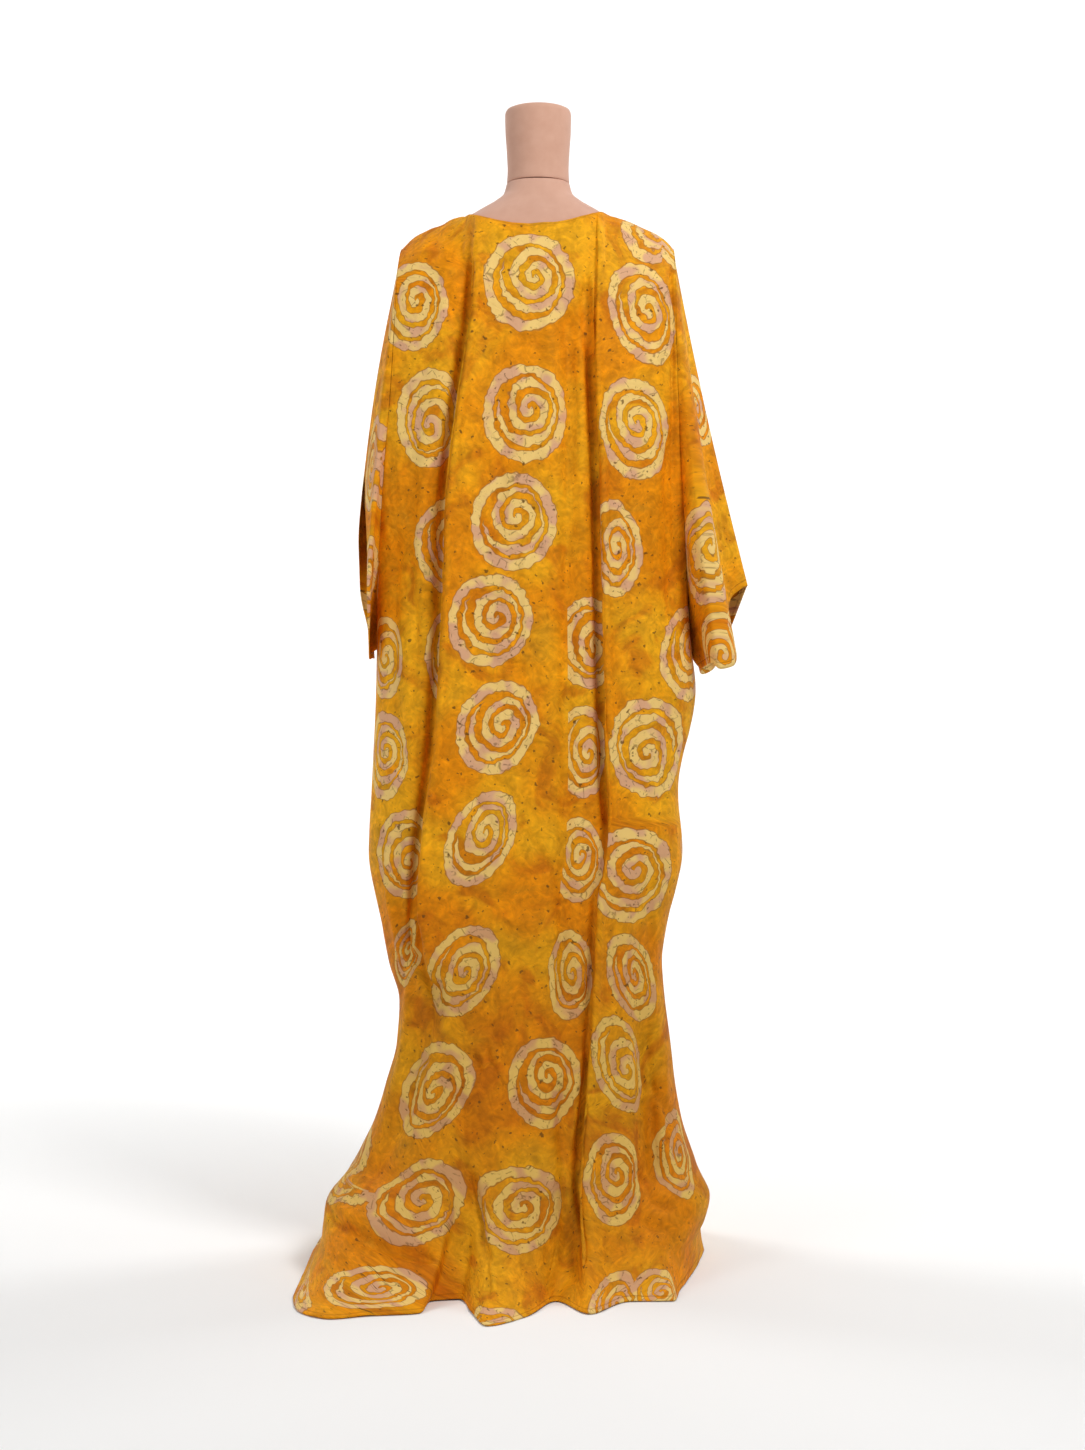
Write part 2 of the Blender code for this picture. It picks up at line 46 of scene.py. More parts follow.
cloth = {
    "shell": 0.0009,        # thickness of the cotton shell, inside the solid's own wall
    "clearance": 0.0013,    # from the form's surface to the middle of the cloth
    "yokeFoot": 1.270,      # the robe lies over the shoulders above this height
    "skirtFoot": 0.131,     # and spreads to the floor below this one
    "hemLift": 0.0014,
    "crumple": 0.0024,      # height of the small crumples all over
    "seamGap": 0.0003,
    "shoulderTip": 0.184,
    "neckMiddle": -0.006,
    "neckHalfWidth": 0.096,
    "sideRoundness": 3.0,
    "openTuck": 0.050,
    "frontStart": 3.0,      # the front's cloth coordinates start this far along from the back's
    "formRoundness": 2.3,
}


def smooth(keys, values, at):
    # a curve through a table's values that never overshoots them
    keys = np.asarray(keys, dtype=float)
    values = np.asarray(values, dtype=float)
    step = np.diff(keys)
    rise = np.diff(values) / step
    slope = np.zeros(len(keys))
    slope[0] = rise[0]
    slope[-1] = rise[-1]
    steady = np.nonzero(rise[:-1] * rise[1:] > 0)[0]
    slope[steady + 1] = 2 / (1 / rise[steady] + 1 / rise[steady + 1])
    at = np.clip(at, keys[0], keys[-1])
    i = np.clip(np.searchsorted(keys, at, side="right") - 1, 0, len(step) - 1)
    t = (at - keys[i]) / step[i]
    start = (1 + 2 * t) * (1 - t) ** 2 * values[i] + t * (1 - t) ** 2 * step[i] * slope[i]
    end = t * t * (3 - 2 * t) * values[i + 1] + t * t * (t - 1) * step[i] * slope[i + 1]
    return start + end


def read(rows, key, column, at):
    # one column of a table, read smoothly where its key column has the value given
    ordered = sorted(rows, key=lambda row: getattr(row, key))
    keys = [getattr(row, key) for row in ordered]
    return smooth(keys, [getattr(row, column) for row in ordered], at)


# The robe's round at each height, as the solids have it
Section = namedtuple("Section", "height left right back front tuck")
sections = [
    Section(1.270, -0.191, 0.184, 0.112, 0.120, 0.082),
    Section(1.168, -0.197, 0.187, 0.122, 0.130, 0.084),
    Section(1.080, -0.205, 0.191, 0.126, 0.130, 0.078),
    Section(0.985, -0.212, 0.197, 0.128, 0.128, 0.062),
    Section(0.888, -0.218, 0.204, 0.130, 0.127, 0.030),
    Section(0.830, -0.220, 0.209, 0.131, 0.127, 0.000),
    Section(0.771, -0.221, 0.215, 0.132, 0.128, 0.000),
    Section(0.634, -0.227, 0.191, 0.134, 0.131, 0.000),
    Section(0.553, -0.231, 0.197, 0.136, 0.132, 0.000),
    Section(0.458, -0.214, 0.177, 0.138, 0.132, 0.000),
    Section(0.403, -0.204, 0.169, 0.138, 0.132, 0.000),
    Section(0.349, -0.189, 0.173, 0.140, 0.134, 0.000),
    Section(0.294, -0.192, 0.180, 0.146, 0.139, 0.000),
    Section(0.240, -0.206, 0.186, 0.156, 0.147, 0.000),
    Section(0.185, -0.223, 0.196, 0.170, 0.160, 0.000),
    Section(0.131, -0.249, 0.214, 0.190, 0.178, 0.000),
]

ShoulderPoint = namedtuple("ShoulderPoint", "across height")
shoulderLine = [
    ShoulderPoint(0.000, 1.4215),
    ShoulderPoint(0.096, 1.4205),
    ShoulderPoint(0.130, 1.4095),
    ShoulderPoint(0.155, 1.3985),
    ShoulderPoint(0.172, 1.3880),
    ShoulderPoint(0.184, 1.3760),
]

# The folds run down one column of a panel each. A pleat laps its crest over its valley
Fold = namedtuple("Fold", "name kind column width path")
FoldPoint = namedtuple("FoldPoint", "height across depth lap")
HemPoint = namedtuple("HemPoint", "column x out")

# Creases run through points given across and up, with half width and depth in metres. A soft one stands
# out where its depth is positive and sinks in where it is negative. A step stands out on its right side
# and sinks in on its left, as at the edge of a lapped fold
Crease = namedtuple("Crease", "path width depth kind", defaults=["soft"])

back = {
    "side": "back",
    "columns": 196,
    "yokeRows": 34,
    "hangRows": 168,
    "footRows": 38,
    "neckDrop": 0.028,
    "folds": [
        Fold("left hollow", "soft", 0.11, 0.050, [
            FoldPoint(0.131, -0.196, -0.010, 0.0),
            FoldPoint(0.240, -0.172, -0.012, 0.0),
            FoldPoint(0.349, -0.160, -0.008, 0.0),
            FoldPoint(0.458, -0.192, 0.000, 0.0),
            FoldPoint(0.851, -0.180, -0.004, 0.0),
            FoldPoint(1.100, -0.165, -0.006, 0.0),
            FoldPoint(1.270, -0.145, -0.003, 0.0),
        ]),
        Fold("left pleat", "pleat", 0.26, 0.045, [
            FoldPoint(0.131, -0.120, 0.002, 0.000),
            FoldPoint(0.349, -0.128, 0.002, 0.000),
            FoldPoint(0.415, -0.150, 0.008, 0.006),
            FoldPoint(0.474, -0.155, 0.011, 0.013),
            FoldPoint(0.578, -0.149, 0.012, 0.016),
            FoldPoint(0.684, -0.134, 0.012, 0.016),
            FoldPoint(0.851, -0.124, 0.012, 0.015),
            FoldPoint(1.020, -0.119, 0.011, 0.014),
            FoldPoint(1.192, -0.099, 0.009, 0.011),
            FoldPoint(1.270, -0.088, 0.006, 0.007),
        ]),
        Fold("centre swell", "soft", 0.45, 0.070, [
            FoldPoint(0.131, -0.050, 0.012, 0.0),
            FoldPoint(0.349, -0.045, 0.008, 0.0),
            FoldPoint(0.684, -0.035, 0.006, 0.0),
            FoldPoint(1.270, -0.020, 0.001, 0.0),
        ]),
        Fold("right pleat", "pleat", 0.66, 0.045, [
            FoldPoint(0.131, 0.058, 0.016, 0.018),
            FoldPoint(0.240, 0.066, 0.013, 0.013),
            FoldPoint(0.349, 0.073, 0.010, 0.010),
            FoldPoint(0.474, 0.078, 0.008, 0.008),
            FoldPoint(0.585, 0.096, 0.010, 0.011),
            FoldPoint(0.684, 0.097, 0.013, 0.017),
            FoldPoint(0.888, 0.092, 0.013, 0.017),
            FoldPoint(1.046, 0.088, 0.012, 0.016),
            FoldPoint(1.152, 0.081, 0.010, 0.013),
            FoldPoint(1.270, 0.078, 0.006, 0.007),
        ]),
        Fold("right hollow", "soft", 0.84, 0.045, [
            FoldPoint(0.131, 0.143, -0.018, 0.0),
            FoldPoint(0.240, 0.137, -0.018, 0.0),
            FoldPoint(0.349, 0.134, -0.014, 0.0),
            FoldPoint(0.474, 0.136, -0.006, 0.0),
            FoldPoint(0.684, 0.150, 0.002, 0.0),
            FoldPoint(1.270, 0.140, 0.001, 0.0),
        ]),
    ],
    "hem": [
        HemPoint(0.00, -0.309, 0.000),
        HemPoint(0.04, -0.309, 0.120),
        HemPoint(0.08, -0.308, 0.240),
        HemPoint(0.12, -0.296, 0.311),
        HemPoint(0.17, -0.252, 0.347),
        HemPoint(0.22, -0.211, 0.334),
        HemPoint(0.29, -0.144, 0.320),
        HemPoint(0.32, -0.135, 0.266),
        HemPoint(0.36, -0.098, 0.257),
        HemPoint(0.40, -0.083, 0.311),
        HemPoint(0.45, -0.061, 0.378),
        HemPoint(0.53, -0.012, 0.334),
        HemPoint(0.60, 0.023, 0.266),
        HemPoint(0.68, 0.064, 0.325),
        HemPoint(0.76, 0.116, 0.266),
        HemPoint(0.83, 0.171, 0.264),
        HemPoint(0.87, 0.181, 0.216),
        HemPoint(0.91, 0.194, 0.165),
        HemPoint(0.96, 0.218, 0.060),
        HemPoint(1.00, 0.228, 0.000),
    ],
    "creases": [
        # the long folds' own edges, with the shaded gaps beside them
        Crease([(-0.090, 1.340), (-0.095, 1.262), (-0.107, 1.180), (-0.119, 1.099), (-0.128, 1.020),
                (-0.133, 0.851), (-0.144, 0.683), (-0.159, 0.578), (-0.169, 0.474), (-0.178, 0.414)],
               0.0055, -0.0075),
        Crease([(0.062, 1.310), (0.065, 1.240), (0.070, 1.152), (0.075, 1.046), (0.078, 0.888),
                (0.082, 0.756), (0.086, 0.650), (0.091, 0.584)], 0.0055, -0.0075),
        Crease([(0.180, 1.340), (0.183, 1.240), (0.182, 1.120), (0.185, 1.020), (0.187, 0.930)],
               0.0050, -0.0060),
        Crease([(-0.083, 1.350), (-0.088, 1.270), (-0.101, 1.180), (-0.112, 1.099), (-0.121, 1.020),
                (-0.126, 0.851), (-0.137, 0.683), (-0.152, 0.578), (-0.162, 0.474), (-0.172, 0.414)],
               0.0065, 0.0050, "step"),
        Crease([(0.068, 1.330), (0.072, 1.240), (0.077, 1.152), (0.082, 1.046), (0.085, 0.888),
                (0.089, 0.756), (0.093, 0.650), (0.098, 0.584)], 0.0060, 0.0050, "step"),
        Crease([(0.080, 0.520), (0.076, 0.430), (0.071, 0.340), (0.064, 0.250), (0.055, 0.158)],
               0.0060, 0.0045, "step"),
        Crease([(0.040, 1.280), (0.044, 1.150), (0.041, 0.960), (0.040, 0.760), (0.038, 0.600),
                (0.034, 0.466), (0.040, 0.340)], 0.0115, -0.0115),
        Crease([(0.030, 0.260), (0.036, 0.160), (0.040, 0.070), (0.044, 0.010)], 0.0100, -0.0110),
        Crease([(0.058, 0.300), (0.048, 0.225), (0.037, 0.150), (0.052, 0.060)], 0.0060, 0.0060),
        Crease([(0.066, 0.240), (0.055, 0.190), (0.053, 0.120), (0.062, 0.040)], 0.0060, -0.0090),
        Crease([(-0.123, 1.312), (-0.112, 1.262), (-0.102, 1.210)], 0.0060, -0.0035),
        Crease([(-0.017, 0.950), (-0.014, 0.820), (-0.010, 0.690)], 0.0050, 0.0034),
        Crease([(-0.165, 0.900), (-0.162, 0.820), (-0.166, 0.740)], 0.0060, -0.0045),
        Crease([(-0.150, 1.080), (-0.155, 0.980), (-0.152, 0.880)], 0.0090, 0.0040),
        Crease([(-0.190, 0.990), (-0.196, 0.880), (-0.192, 0.760), (-0.182, 0.640)], 0.0110, -0.0060),
        Crease([(-0.182, 0.600), (-0.190, 0.520), (-0.178, 0.440)], 0.0090, -0.0060),
        Crease([(-0.200, 0.560), (-0.196, 0.480), (-0.180, 0.410)], 0.0070, 0.0045),
        Crease([(0.014, 1.290), (0.018, 1.180), (0.010, 1.060)], 0.0100, 0.0030),
        Crease([(-0.040, 1.180), (-0.048, 1.060), (-0.060, 0.960)], 0.0110, -0.0035),
        Crease([(0.058, 1.230), (0.056, 1.100), (0.060, 0.960)], 0.0060, 0.0035),
        Crease([(0.120, 1.030), (0.116, 0.960), (0.122, 0.880)], 0.0070, -0.0035),
        Crease([(0.150, 1.240), (0.158, 1.120), (0.155, 1.000)], 0.0120, 0.0040),
        Crease([(0.172, 1.120), (0.176, 1.000), (0.178, 0.880)], 0.0080, -0.0050),
        Crease([(0.135, 0.860), (0.140, 0.760), (0.150, 0.660)], 0.0100, 0.0035),
        Crease([(0.176, 0.770), (0.176, 0.680), (0.160, 0.600)], 0.0080, -0.0045),
        Crease([(0.160, 0.570), (0.150, 0.500), (0.152, 0.420)], 0.0080, -0.0050),
        # short slanted wrinkles over the middle
        Crease([(-0.030, 0.600), (0.004, 0.556), (0.034, 0.508)], 0.0050, -0.0048),
        Crease([(-0.060, 0.476), (-0.010, 0.462), (0.030, 0.458)], 0.0052, 0.0040),
        Crease([(-0.100, 0.640), (-0.070, 0.610), (-0.046, 0.560)], 0.0055, -0.0042),
        Crease([(-0.080, 0.820), (-0.040, 0.800), (0.010, 0.792)], 0.0050, -0.0034),
        Crease([(-0.050, 0.690), (-0.010, 0.706), (0.030, 0.730)], 0.0050, 0.0032),
        Crease([(-0.014, 0.980), (0.012, 0.930), (0.030, 0.870)], 0.0055, -0.0040),
        Crease([(-0.070, 0.350), (-0.050, 0.300), (-0.030, 0.290)], 0.0050, -0.0030),
        Crease([(-0.052, 0.390), (-0.040, 0.330), (-0.046, 0.270)], 0.0055, 0.0030),
        # the skirt: the train pulled out to the left, and the soft tubes down to the hem
        Crease([(-0.128, 0.420), (-0.139, 0.357), (-0.168, 0.245), (-0.196, 0.178), (-0.230, 0.110)],
               0.0130, -0.0105),
        Crease([(-0.166, 0.400), (-0.176, 0.330), (-0.200, 0.250), (-0.236, 0.170)], 0.0100, 0.0060),
        Crease([(-0.296, 0.088), (-0.252, 0.074), (-0.212, 0.066), (-0.165, 0.056), (-0.120, 0.048)],
               0.0065, -0.0130),
        Crease([(-0.290, 0.104), (-0.250, 0.092), (-0.206, 0.084), (-0.168, 0.080)], 0.0075, 0.0070),
        Crease([(-0.280, 0.062), (-0.230, 0.044), (-0.170, 0.034)], 0.0090, 0.0070),
        Crease([(-0.262, 0.130), (-0.238, 0.096), (-0.214, 0.070)], 0.0060, -0.0070),
        Crease([(-0.088, 0.150), (-0.080, 0.104), (-0.066, 0.056), (-0.058, 0.010)], 0.0060, -0.0110),
        Crease([(-0.066, 0.072), (-0.052, 0.046), (-0.044, 0.016)], 0.0050, -0.0080),
        Crease([(-0.090, 0.300), (-0.079, 0.282), (-0.074, 0.262)], 0.0050, -0.0060),
        Crease([(-0.068, 0.310), (-0.064, 0.286), (-0.050, 0.268)], 0.0045, -0.0055),
        Crease([(-0.058, 0.270), (-0.044, 0.262), (-0.028, 0.262)], 0.0045, 0.0040),
        Crease([(-0.066, 0.100), (-0.056, 0.060), (-0.050, 0.012)], 0.0070, 0.0070),
        Crease([(-0.104, 0.260), (-0.098, 0.190), (-0.094, 0.120)], 0.0080, -0.0045),
        Crease([(-0.030, 0.080), (-0.010, 0.040), (0.010, 0.012)], 0.0080, -0.0060),
        Crease([(0.145, 0.340), (0.150, 0.240), (0.152, 0.170), (0.157, 0.112)], 0.0115, -0.0120),
        Crease([(0.171, 0.292), (0.156, 0.248), (0.174, 0.200), (0.166, 0.158)], 0.0050, -0.0060),
        Crease([(0.128, 0.148), (0.152, 0.104), (0.184, 0.090)], 0.0060, -0.0070),
        Crease([(0.120, 0.300), (0.122, 0.210), (0.114, 0.120)], 0.0100, 0.0060),
        Crease([(0.170, 0.270), (0.164, 0.200), (0.172, 0.140)], 0.0070, 0.0055),
        Crease([(0.128, 0.090), (0.150, 0.074), (0.180, 0.066)], 0.0070, -0.0050),
        Crease([(0.086, 0.070), (0.094, 0.036), (0.104, 0.008)], 0.0080, -0.0050),
    ],
}

front = {
    "side": "front",
    "columns": 150,
    "yokeRows": 34,
    "hangRows": 140,
    "footRows": 26,
    "neckDrop": 0.110,
    "folds": [
        Fold("left hollow", "soft", 0.18, 0.050, [
            FoldPoint(0.131, -0.165, -0.018, 0.0),
            FoldPoint(0.458, -0.145, -0.012, 0.0),
            FoldPoint(0.888, -0.140, -0.010, 0.0),
            FoldPoint(1.270, -0.130, -0.002, 0.0),
        ]),
        Fold("left pleat", "pleat", 0.38, 0.055, [
            FoldPoint(0.131, -0.055, 0.010, 0.008),
            FoldPoint(0.458, -0.062, 0.010, 0.010),
            FoldPoint(0.888, -0.070, 0.010, 0.010),
            FoldPoint(1.270, -0.064, 0.003, 0.002),
        ]),
        Fold("centre swell", "soft", 0.58, 0.060, [
            FoldPoint(0.131, 0.035, 0.014, 0.0),
            FoldPoint(0.458, 0.025, 0.010, 0.0),
            FoldPoint(0.888, 0.022, 0.008, 0.0),
            FoldPoint(1.270, 0.020, 0.001, 0.0),
        ]),
        Fold("right hollow", "soft", 0.79, 0.055, [
            FoldPoint(0.131, 0.125, -0.018, 0.0),
            FoldPoint(0.458, 0.108, -0.014, 0.0),
            FoldPoint(0.888, 0.115, -0.010, 0.0),
            FoldPoint(1.270, 0.120, -0.002, 0.0),
        ]),
    ],
    "hem": [
        HemPoint(0.00, -0.309, 0.000),
        HemPoint(0.08, -0.302, 0.130),
        HemPoint(0.18, -0.240, 0.240),
        HemPoint(0.28, -0.150, 0.285),
        HemPoint(0.38, -0.065, 0.262),
        HemPoint(0.48, -0.012, 0.300),
        HemPoint(0.60, 0.050, 0.312),
        HemPoint(0.72, 0.122, 0.262),
        HemPoint(0.84, 0.186, 0.200),
        HemPoint(0.93, 0.222, 0.095),
        HemPoint(1.00, 0.228, 0.000),
    ],
    "creases": [
        Crease([(-0.110, 1.230), (-0.118, 1.050), (-0.122, 0.820)], 0.0120, -0.0075),
        Crease([(-0.060, 1.240), (-0.066, 1.080), (-0.068, 0.880), (-0.062, 0.640)], 0.0070, 0.0050, "step"),
        Crease([(-0.020, 1.260), (-0.016, 1.080), (-0.024, 0.860)], 0.0100, 0.0040),
        Crease([(0.024, 1.200), (0.030, 0.980), (0.022, 0.760)], 0.0110, -0.0060),
        Crease([(0.070, 1.250), (0.076, 1.060), (0.072, 0.820)], 0.0070, -0.0050, "step"),
        Crease([(0.130, 1.180), (0.140, 0.980), (0.136, 0.780)], 0.0110, -0.0065),
        Crease([(-0.170, 0.900), (-0.164, 0.720), (-0.170, 0.540)], 0.0110, 0.0050),
        Crease([(0.160, 0.720), (0.150, 0.560), (0.146, 0.420)], 0.0100, -0.0055),
        Crease([(-0.100, 0.560), (-0.104, 0.400), (-0.120, 0.240)], 0.0110, -0.0080),
        Crease([(-0.030, 0.600), (-0.022, 0.400), (-0.020, 0.200)], 0.0120, 0.0070),
        Crease([(0.040, 0.520), (0.050, 0.340), (0.058, 0.140)], 0.0110, -0.0080),
        Crease([(0.090, 0.420), (0.104, 0.260), (0.112, 0.100)], 0.0120, 0.0065),
        Crease([(-0.070, 0.230), (-0.080, 0.120), (-0.090, 0.020)], 0.0100, -0.0070),
        Crease([(-0.180, 0.240), (-0.210, 0.140), (-0.240, 0.040)], 0.0110, -0.0070),
        Crease([(0.150, 0.260), (0.164, 0.140), (0.180, 0.040)], 0.0100, -0.0070),
        Crease([(-0.040, 0.820), (0.000, 0.790), (0.030, 0.740)], 0.0050, -0.0025),
        Crease([(0.080, 0.640), (0.050, 0.600), (0.020, 0.590)], 0.0050, 0.0025),
    ],
}

# How the skirt comes down on the floor, and how far its left and its right side swell out there
FootPoint = namedtuple("FootPoint", "share height left right")
foot = [
    FootPoint(0.00, 0.131, 0.000, 0.000),
    FootPoint(0.18, 0.094, 0.028, 0.020),
    FootPoint(0.36, 0.062, 0.020, 0.012),
    FootPoint(0.56, 0.036, 0.010, 0.001),
    FootPoint(0.78, 0.014, 0.005, 0.000),
    FootPoint(1.00, cloth["hemLift"], 0.000, 0.000),
]

# How much of that swell each column takes, by its distance from the side edge of its panel
SwellPoint = namedtuple("SwellPoint", "away part")
swell = {
    "back": [SwellPoint(0.00, 0.35), SwellPoint(0.05, 1.00), SwellPoint(0.12, 1.00), SwellPoint(0.20, 0.00)],
    "front": [SwellPoint(0.00, 0.35), SwellPoint(0.16, 0.00)],
}

# One spiral of the print: where its middle shows, half its width and height as it shows on the cloth,
# how far it leans, and how far it is turned. One that a lapped fold partly hides shows only on its own strip
Spiral = namedtuple("Spiral", "across height halfWidth halfHeight lean turn strip",
                    defaults=[0.0, 0.0, "all"])
Motif = namedtuple("Motif", "u v local halfWidth halfHeight lean turn strip")
strips = {"all": (-0.1, 1.1), "left": (-0.1, 0.262), "narrow": (0.568, 0.662), "right": (0.662, 1.1)}
CuffPoint = namedtuple("CuffPoint", "turn x y z")
sleeves = {
    "sleeve_right": {
        "hand": 1,
        "title": "sleeveRight",
        "spirals": [
            Spiral(0.218, 1.150, 0.034, 0.050, 0.0, 0.2),
            Spiral(0.2355, 0.955, 0.056, 0.072, -0.15, 0.3),
            Spiral(0.250, 0.822, 0.048, 0.056, 0.0, 1.4),
        ],
        "bulge": -0.004,
        "columns": 110,
        "rows": 90,
        "cuff": [
            CuffPoint(0.00, 0.224, -0.0030, 0.800),
            CuffPoint(0.08, 0.226, -0.0500, 0.803),
            CuffPoint(0.16, 0.231, -0.0950, 0.806),
            CuffPoint(0.24, 0.242, -0.1120, 0.797),
            CuffPoint(0.31, 0.260, -0.1000, 0.802),
            CuffPoint(0.36, 0.266, -0.0750, 0.818),
            CuffPoint(0.41, 0.257, -0.0450, 0.868),
            CuffPoint(0.44, 0.263, -0.0220, 0.896),
            CuffPoint(0.50, 0.288, 0.0020, 0.915),
            CuffPoint(0.56, 0.284, 0.0350, 0.900),
            CuffPoint(0.66, 0.266, 0.0850, 0.845),
            CuffPoint(0.76, 0.249, 0.1150, 0.802),
            CuffPoint(0.86, 0.233, 0.0950, 0.795),
            CuffPoint(0.93, 0.226, 0.0500, 0.798),
            CuffPoint(1.00, 0.224, 0.0030, 0.800),
        ],
    },
    "sleeve_left": {
        "hand": -1,
        "title": "sleeveLeft",
        "spirals": [
            Spiral(-0.222, 1.075, 0.044, 0.066, 0.0, 0.4),
            Spiral(-0.226, 0.915, 0.044, 0.062, 0.0, 0.0),
        ],
        "bulge": 0.006,
        "columns": 110,
        "rows": 80,
        "cuff": [
            CuffPoint(0.00, -0.228, -0.0030, 0.815),
            CuffPoint(0.08, -0.228, -0.0450, 0.812),
            CuffPoint(0.18, -0.226, -0.0850, 0.828),
            CuffPoint(0.28, -0.228, -0.0900, 0.890),
            CuffPoint(0.36, -0.229, -0.0700, 0.950),
            CuffPoint(0.43, -0.2345, -0.0350, 1.020),
            CuffPoint(0.50, -0.2385, 0.0000, 1.068),
            CuffPoint(0.57, -0.2455, 0.0250, 1.030),
            CuffPoint(0.64, -0.2505, 0.0450, 0.975),
            CuffPoint(0.72, -0.2500, 0.0620, 0.915),
            CuffPoint(0.80, -0.2410, 0.0680, 0.865),
            CuffPoint(0.88, -0.2325, 0.0560, 0.830),
            CuffPoint(0.95, -0.2275, 0.0280, 0.815),
            CuffPoint(1.00, -0.228, 0.0030, 0.815),
        ],
    },
}

# Half width and depths of the form at each height
FormSection = namedtuple("FormSection", "height half_width back front")
dressForm = {
    "segments": 120,
    "foot": 0.790,
    "bend": 1.380,          # below this the torso's rings stand wider apart
    "seam": 1.4665,         # the cap line between the torso and the neck
    "seamGroove": 0.012,    # share of the neck's width lost in that line
    "torso": [
        FormSection(1.4657, 0.0430, 0.0430, 0.0430),
        FormSection(1.4500, 0.0480, 0.0500, 0.0470),
        FormSection(1.4390, 0.0610, 0.0560, 0.0510),
        FormSection(1.4280, 0.0800, 0.0630, 0.0570),
        FormSection(1.4180, 0.0970, 0.0700, 0.0640),
        FormSection(1.4060, 0.1220, 0.0760, 0.0700),
        FormSection(1.3950, 0.1480, 0.0810, 0.0760),
        FormSection(1.3840, 0.1630, 0.0850, 0.0810),
        FormSection(1.3700, 0.1730, 0.0900, 0.0880),
        FormSection(1.3500, 0.1790, 0.0960, 0.0960),
        FormSection(1.3000, 0.1780, 0.1020, 0.1060),
        FormSection(1.2300, 0.1680, 0.1060, 0.1180),
        FormSection(1.1500, 0.1480, 0.1020, 0.1100),
        FormSection(1.0700, 0.1280, 0.0920, 0.0960),
        FormSection(1.0200, 0.1230, 0.0880, 0.0900),
        FormSection(0.9500, 0.1410, 0.0980, 0.0960),
        FormSection(0.8700, 0.1620, 0.1120, 0.1020),
        FormSection(0.7900, 0.1600, 0.1100, 0.1000),
    ],
    "neck": [
        FormSection(1.5680, 0.0400, 0.0400, 0.0400),
        FormSection(1.5660, 0.0440, 0.0440, 0.0440),
        FormSection(1.5600, 0.0455, 0.0455, 0.0455),
        FormSection(1.5380, 0.0450, 0.0450, 0.0450),
        FormSection(1.5080, 0.0430, 0.0430, 0.0430),
        FormSection(1.4850, 0.0420, 0.0420, 0.0420),
        FormSection(1.4660, 0.0430, 0.0430, 0.0430),
    ],
}


def hangRow(panel, height, columns):
    # one row of a panel where it hangs free: x of each column and its distance from the middle plane
    left = read(sections, "height", "left", height)
    right = read(sections, "height", "right", height)
    depth = read(sections, "height", panel["side"], height)
    tuck = read(sections, "height", "tuck", height) + cloth["seamGap"] / 2
    middle = (left + right) / 2
    half = (right - left) / 2
    place = [-1.0]
    for fold in panel["folds"]:
        across = read(fold.path, "height", "across", height)
        place.append(2 / math.pi * math.asin((across - middle) / half))
    place.append(1.0)
    turn = np.interp(columns, [0.0] + [fold.column for fold in panel["folds"]] + [1.0], place)
    across = np.sin(math.pi / 2 * turn)
    roundness = cloth["sideRoundness"]
    gentle = np.maximum(1 - np.abs(across) ** roundness, 0)
    opened = min(max(tuck / cloth["openTuck"], 0.0), 1.0)
    bow = opened * gentle + (1 - opened) * gentle ** (1 / roundness)
    x = middle + half * across
    out = tuck + (depth - tuck) * bow
    fade = 1 - np.abs(2 * columns - 1) ** 10
    for fold in panel["folds"]:
        t = (columns - fold.column) / fold.width
        deep = read(fold.path, "height", "depth", height) * fade
        if fold.kind == "pleat":
            lean = math.sqrt(2 * math.e) * t * np.exp(-t * t)
            out = out + deep * lean
            x = x - read(fold.path, "height", "lap", height) * lean * fade
        else:
            out = out + deep * np.exp(-t * t)
    return x, out


def formOut(side, x, height):
    # how far the form's surface stands from the middle plane
    roundness = cloth["formRoundness"]
    share = np.abs(x) / read(dressForm["torso"], "height", "half_width", height)
    depth = read(dressForm["torso"], "height", side, height)
    return depth * np.maximum(1 - share ** roundness, 0) ** (1 / roundness)


def yokeRows(panel, columns):
    footX, footOut = hangRow(panel, cloth["yokeFoot"], columns)
    middle = (footX[0] + footX[-1]) / 2
    topX = (footX - middle) / (footX[-1] - middle) * cloth["shoulderTip"]
    topZ = read(shoulderLine, "across", "height", np.abs(topX))
    neck = np.maximum(1 - ((topX - cloth["neckMiddle"]) / cloth["neckHalfWidth"]) ** 2, 0)
    topZ = topZ - panel["neckDrop"] * neck
    topOut = cloth["seamGap"] / 2 + np.where(neck > 0, formOut(panel["side"], topX, topZ), 0)
    rows = []
    for share in np.linspace(0, 1, panel["yokeRows"], endpoint=False):
        angle = math.pi / 2 * share
        x = topX + (footX - topX) * share
        out = topOut + (footOut - topOut) * math.sin(angle)
        z = cloth["yokeFoot"] + (topZ - cloth["yokeFoot"]) * math.cos(angle)
        rows.append(np.stack([x, out, z], axis=1))
    return rows


def footRows(panel, columns):
    topX, topOut = hangRow(panel, cloth["skirtFoot"], columns)
    hemX = read(panel["hem"], "column", "x", columns)
    hemOut = read(panel["hem"], "column", "out", columns) + cloth["seamGap"] / 2
    rows = []
    for share in np.linspace(0, 1, panel["footRows"] + 1)[1:]:
        x = topX + (hemX - topX) * share
        x = x - read(foot, "share", "left", share) * read(swell[panel["side"]], "away", "part", columns)
        x = x + read(foot, "share", "right", share) * read(swell[panel["side"]], "away", "part", 1 - columns)
        out = topOut + (hemOut - topOut) * share
        z = np.full(len(columns), float(read(foot, "share", "height", share)))
        rows.append(np.stack([x, out, z], axis=1))
    return rows


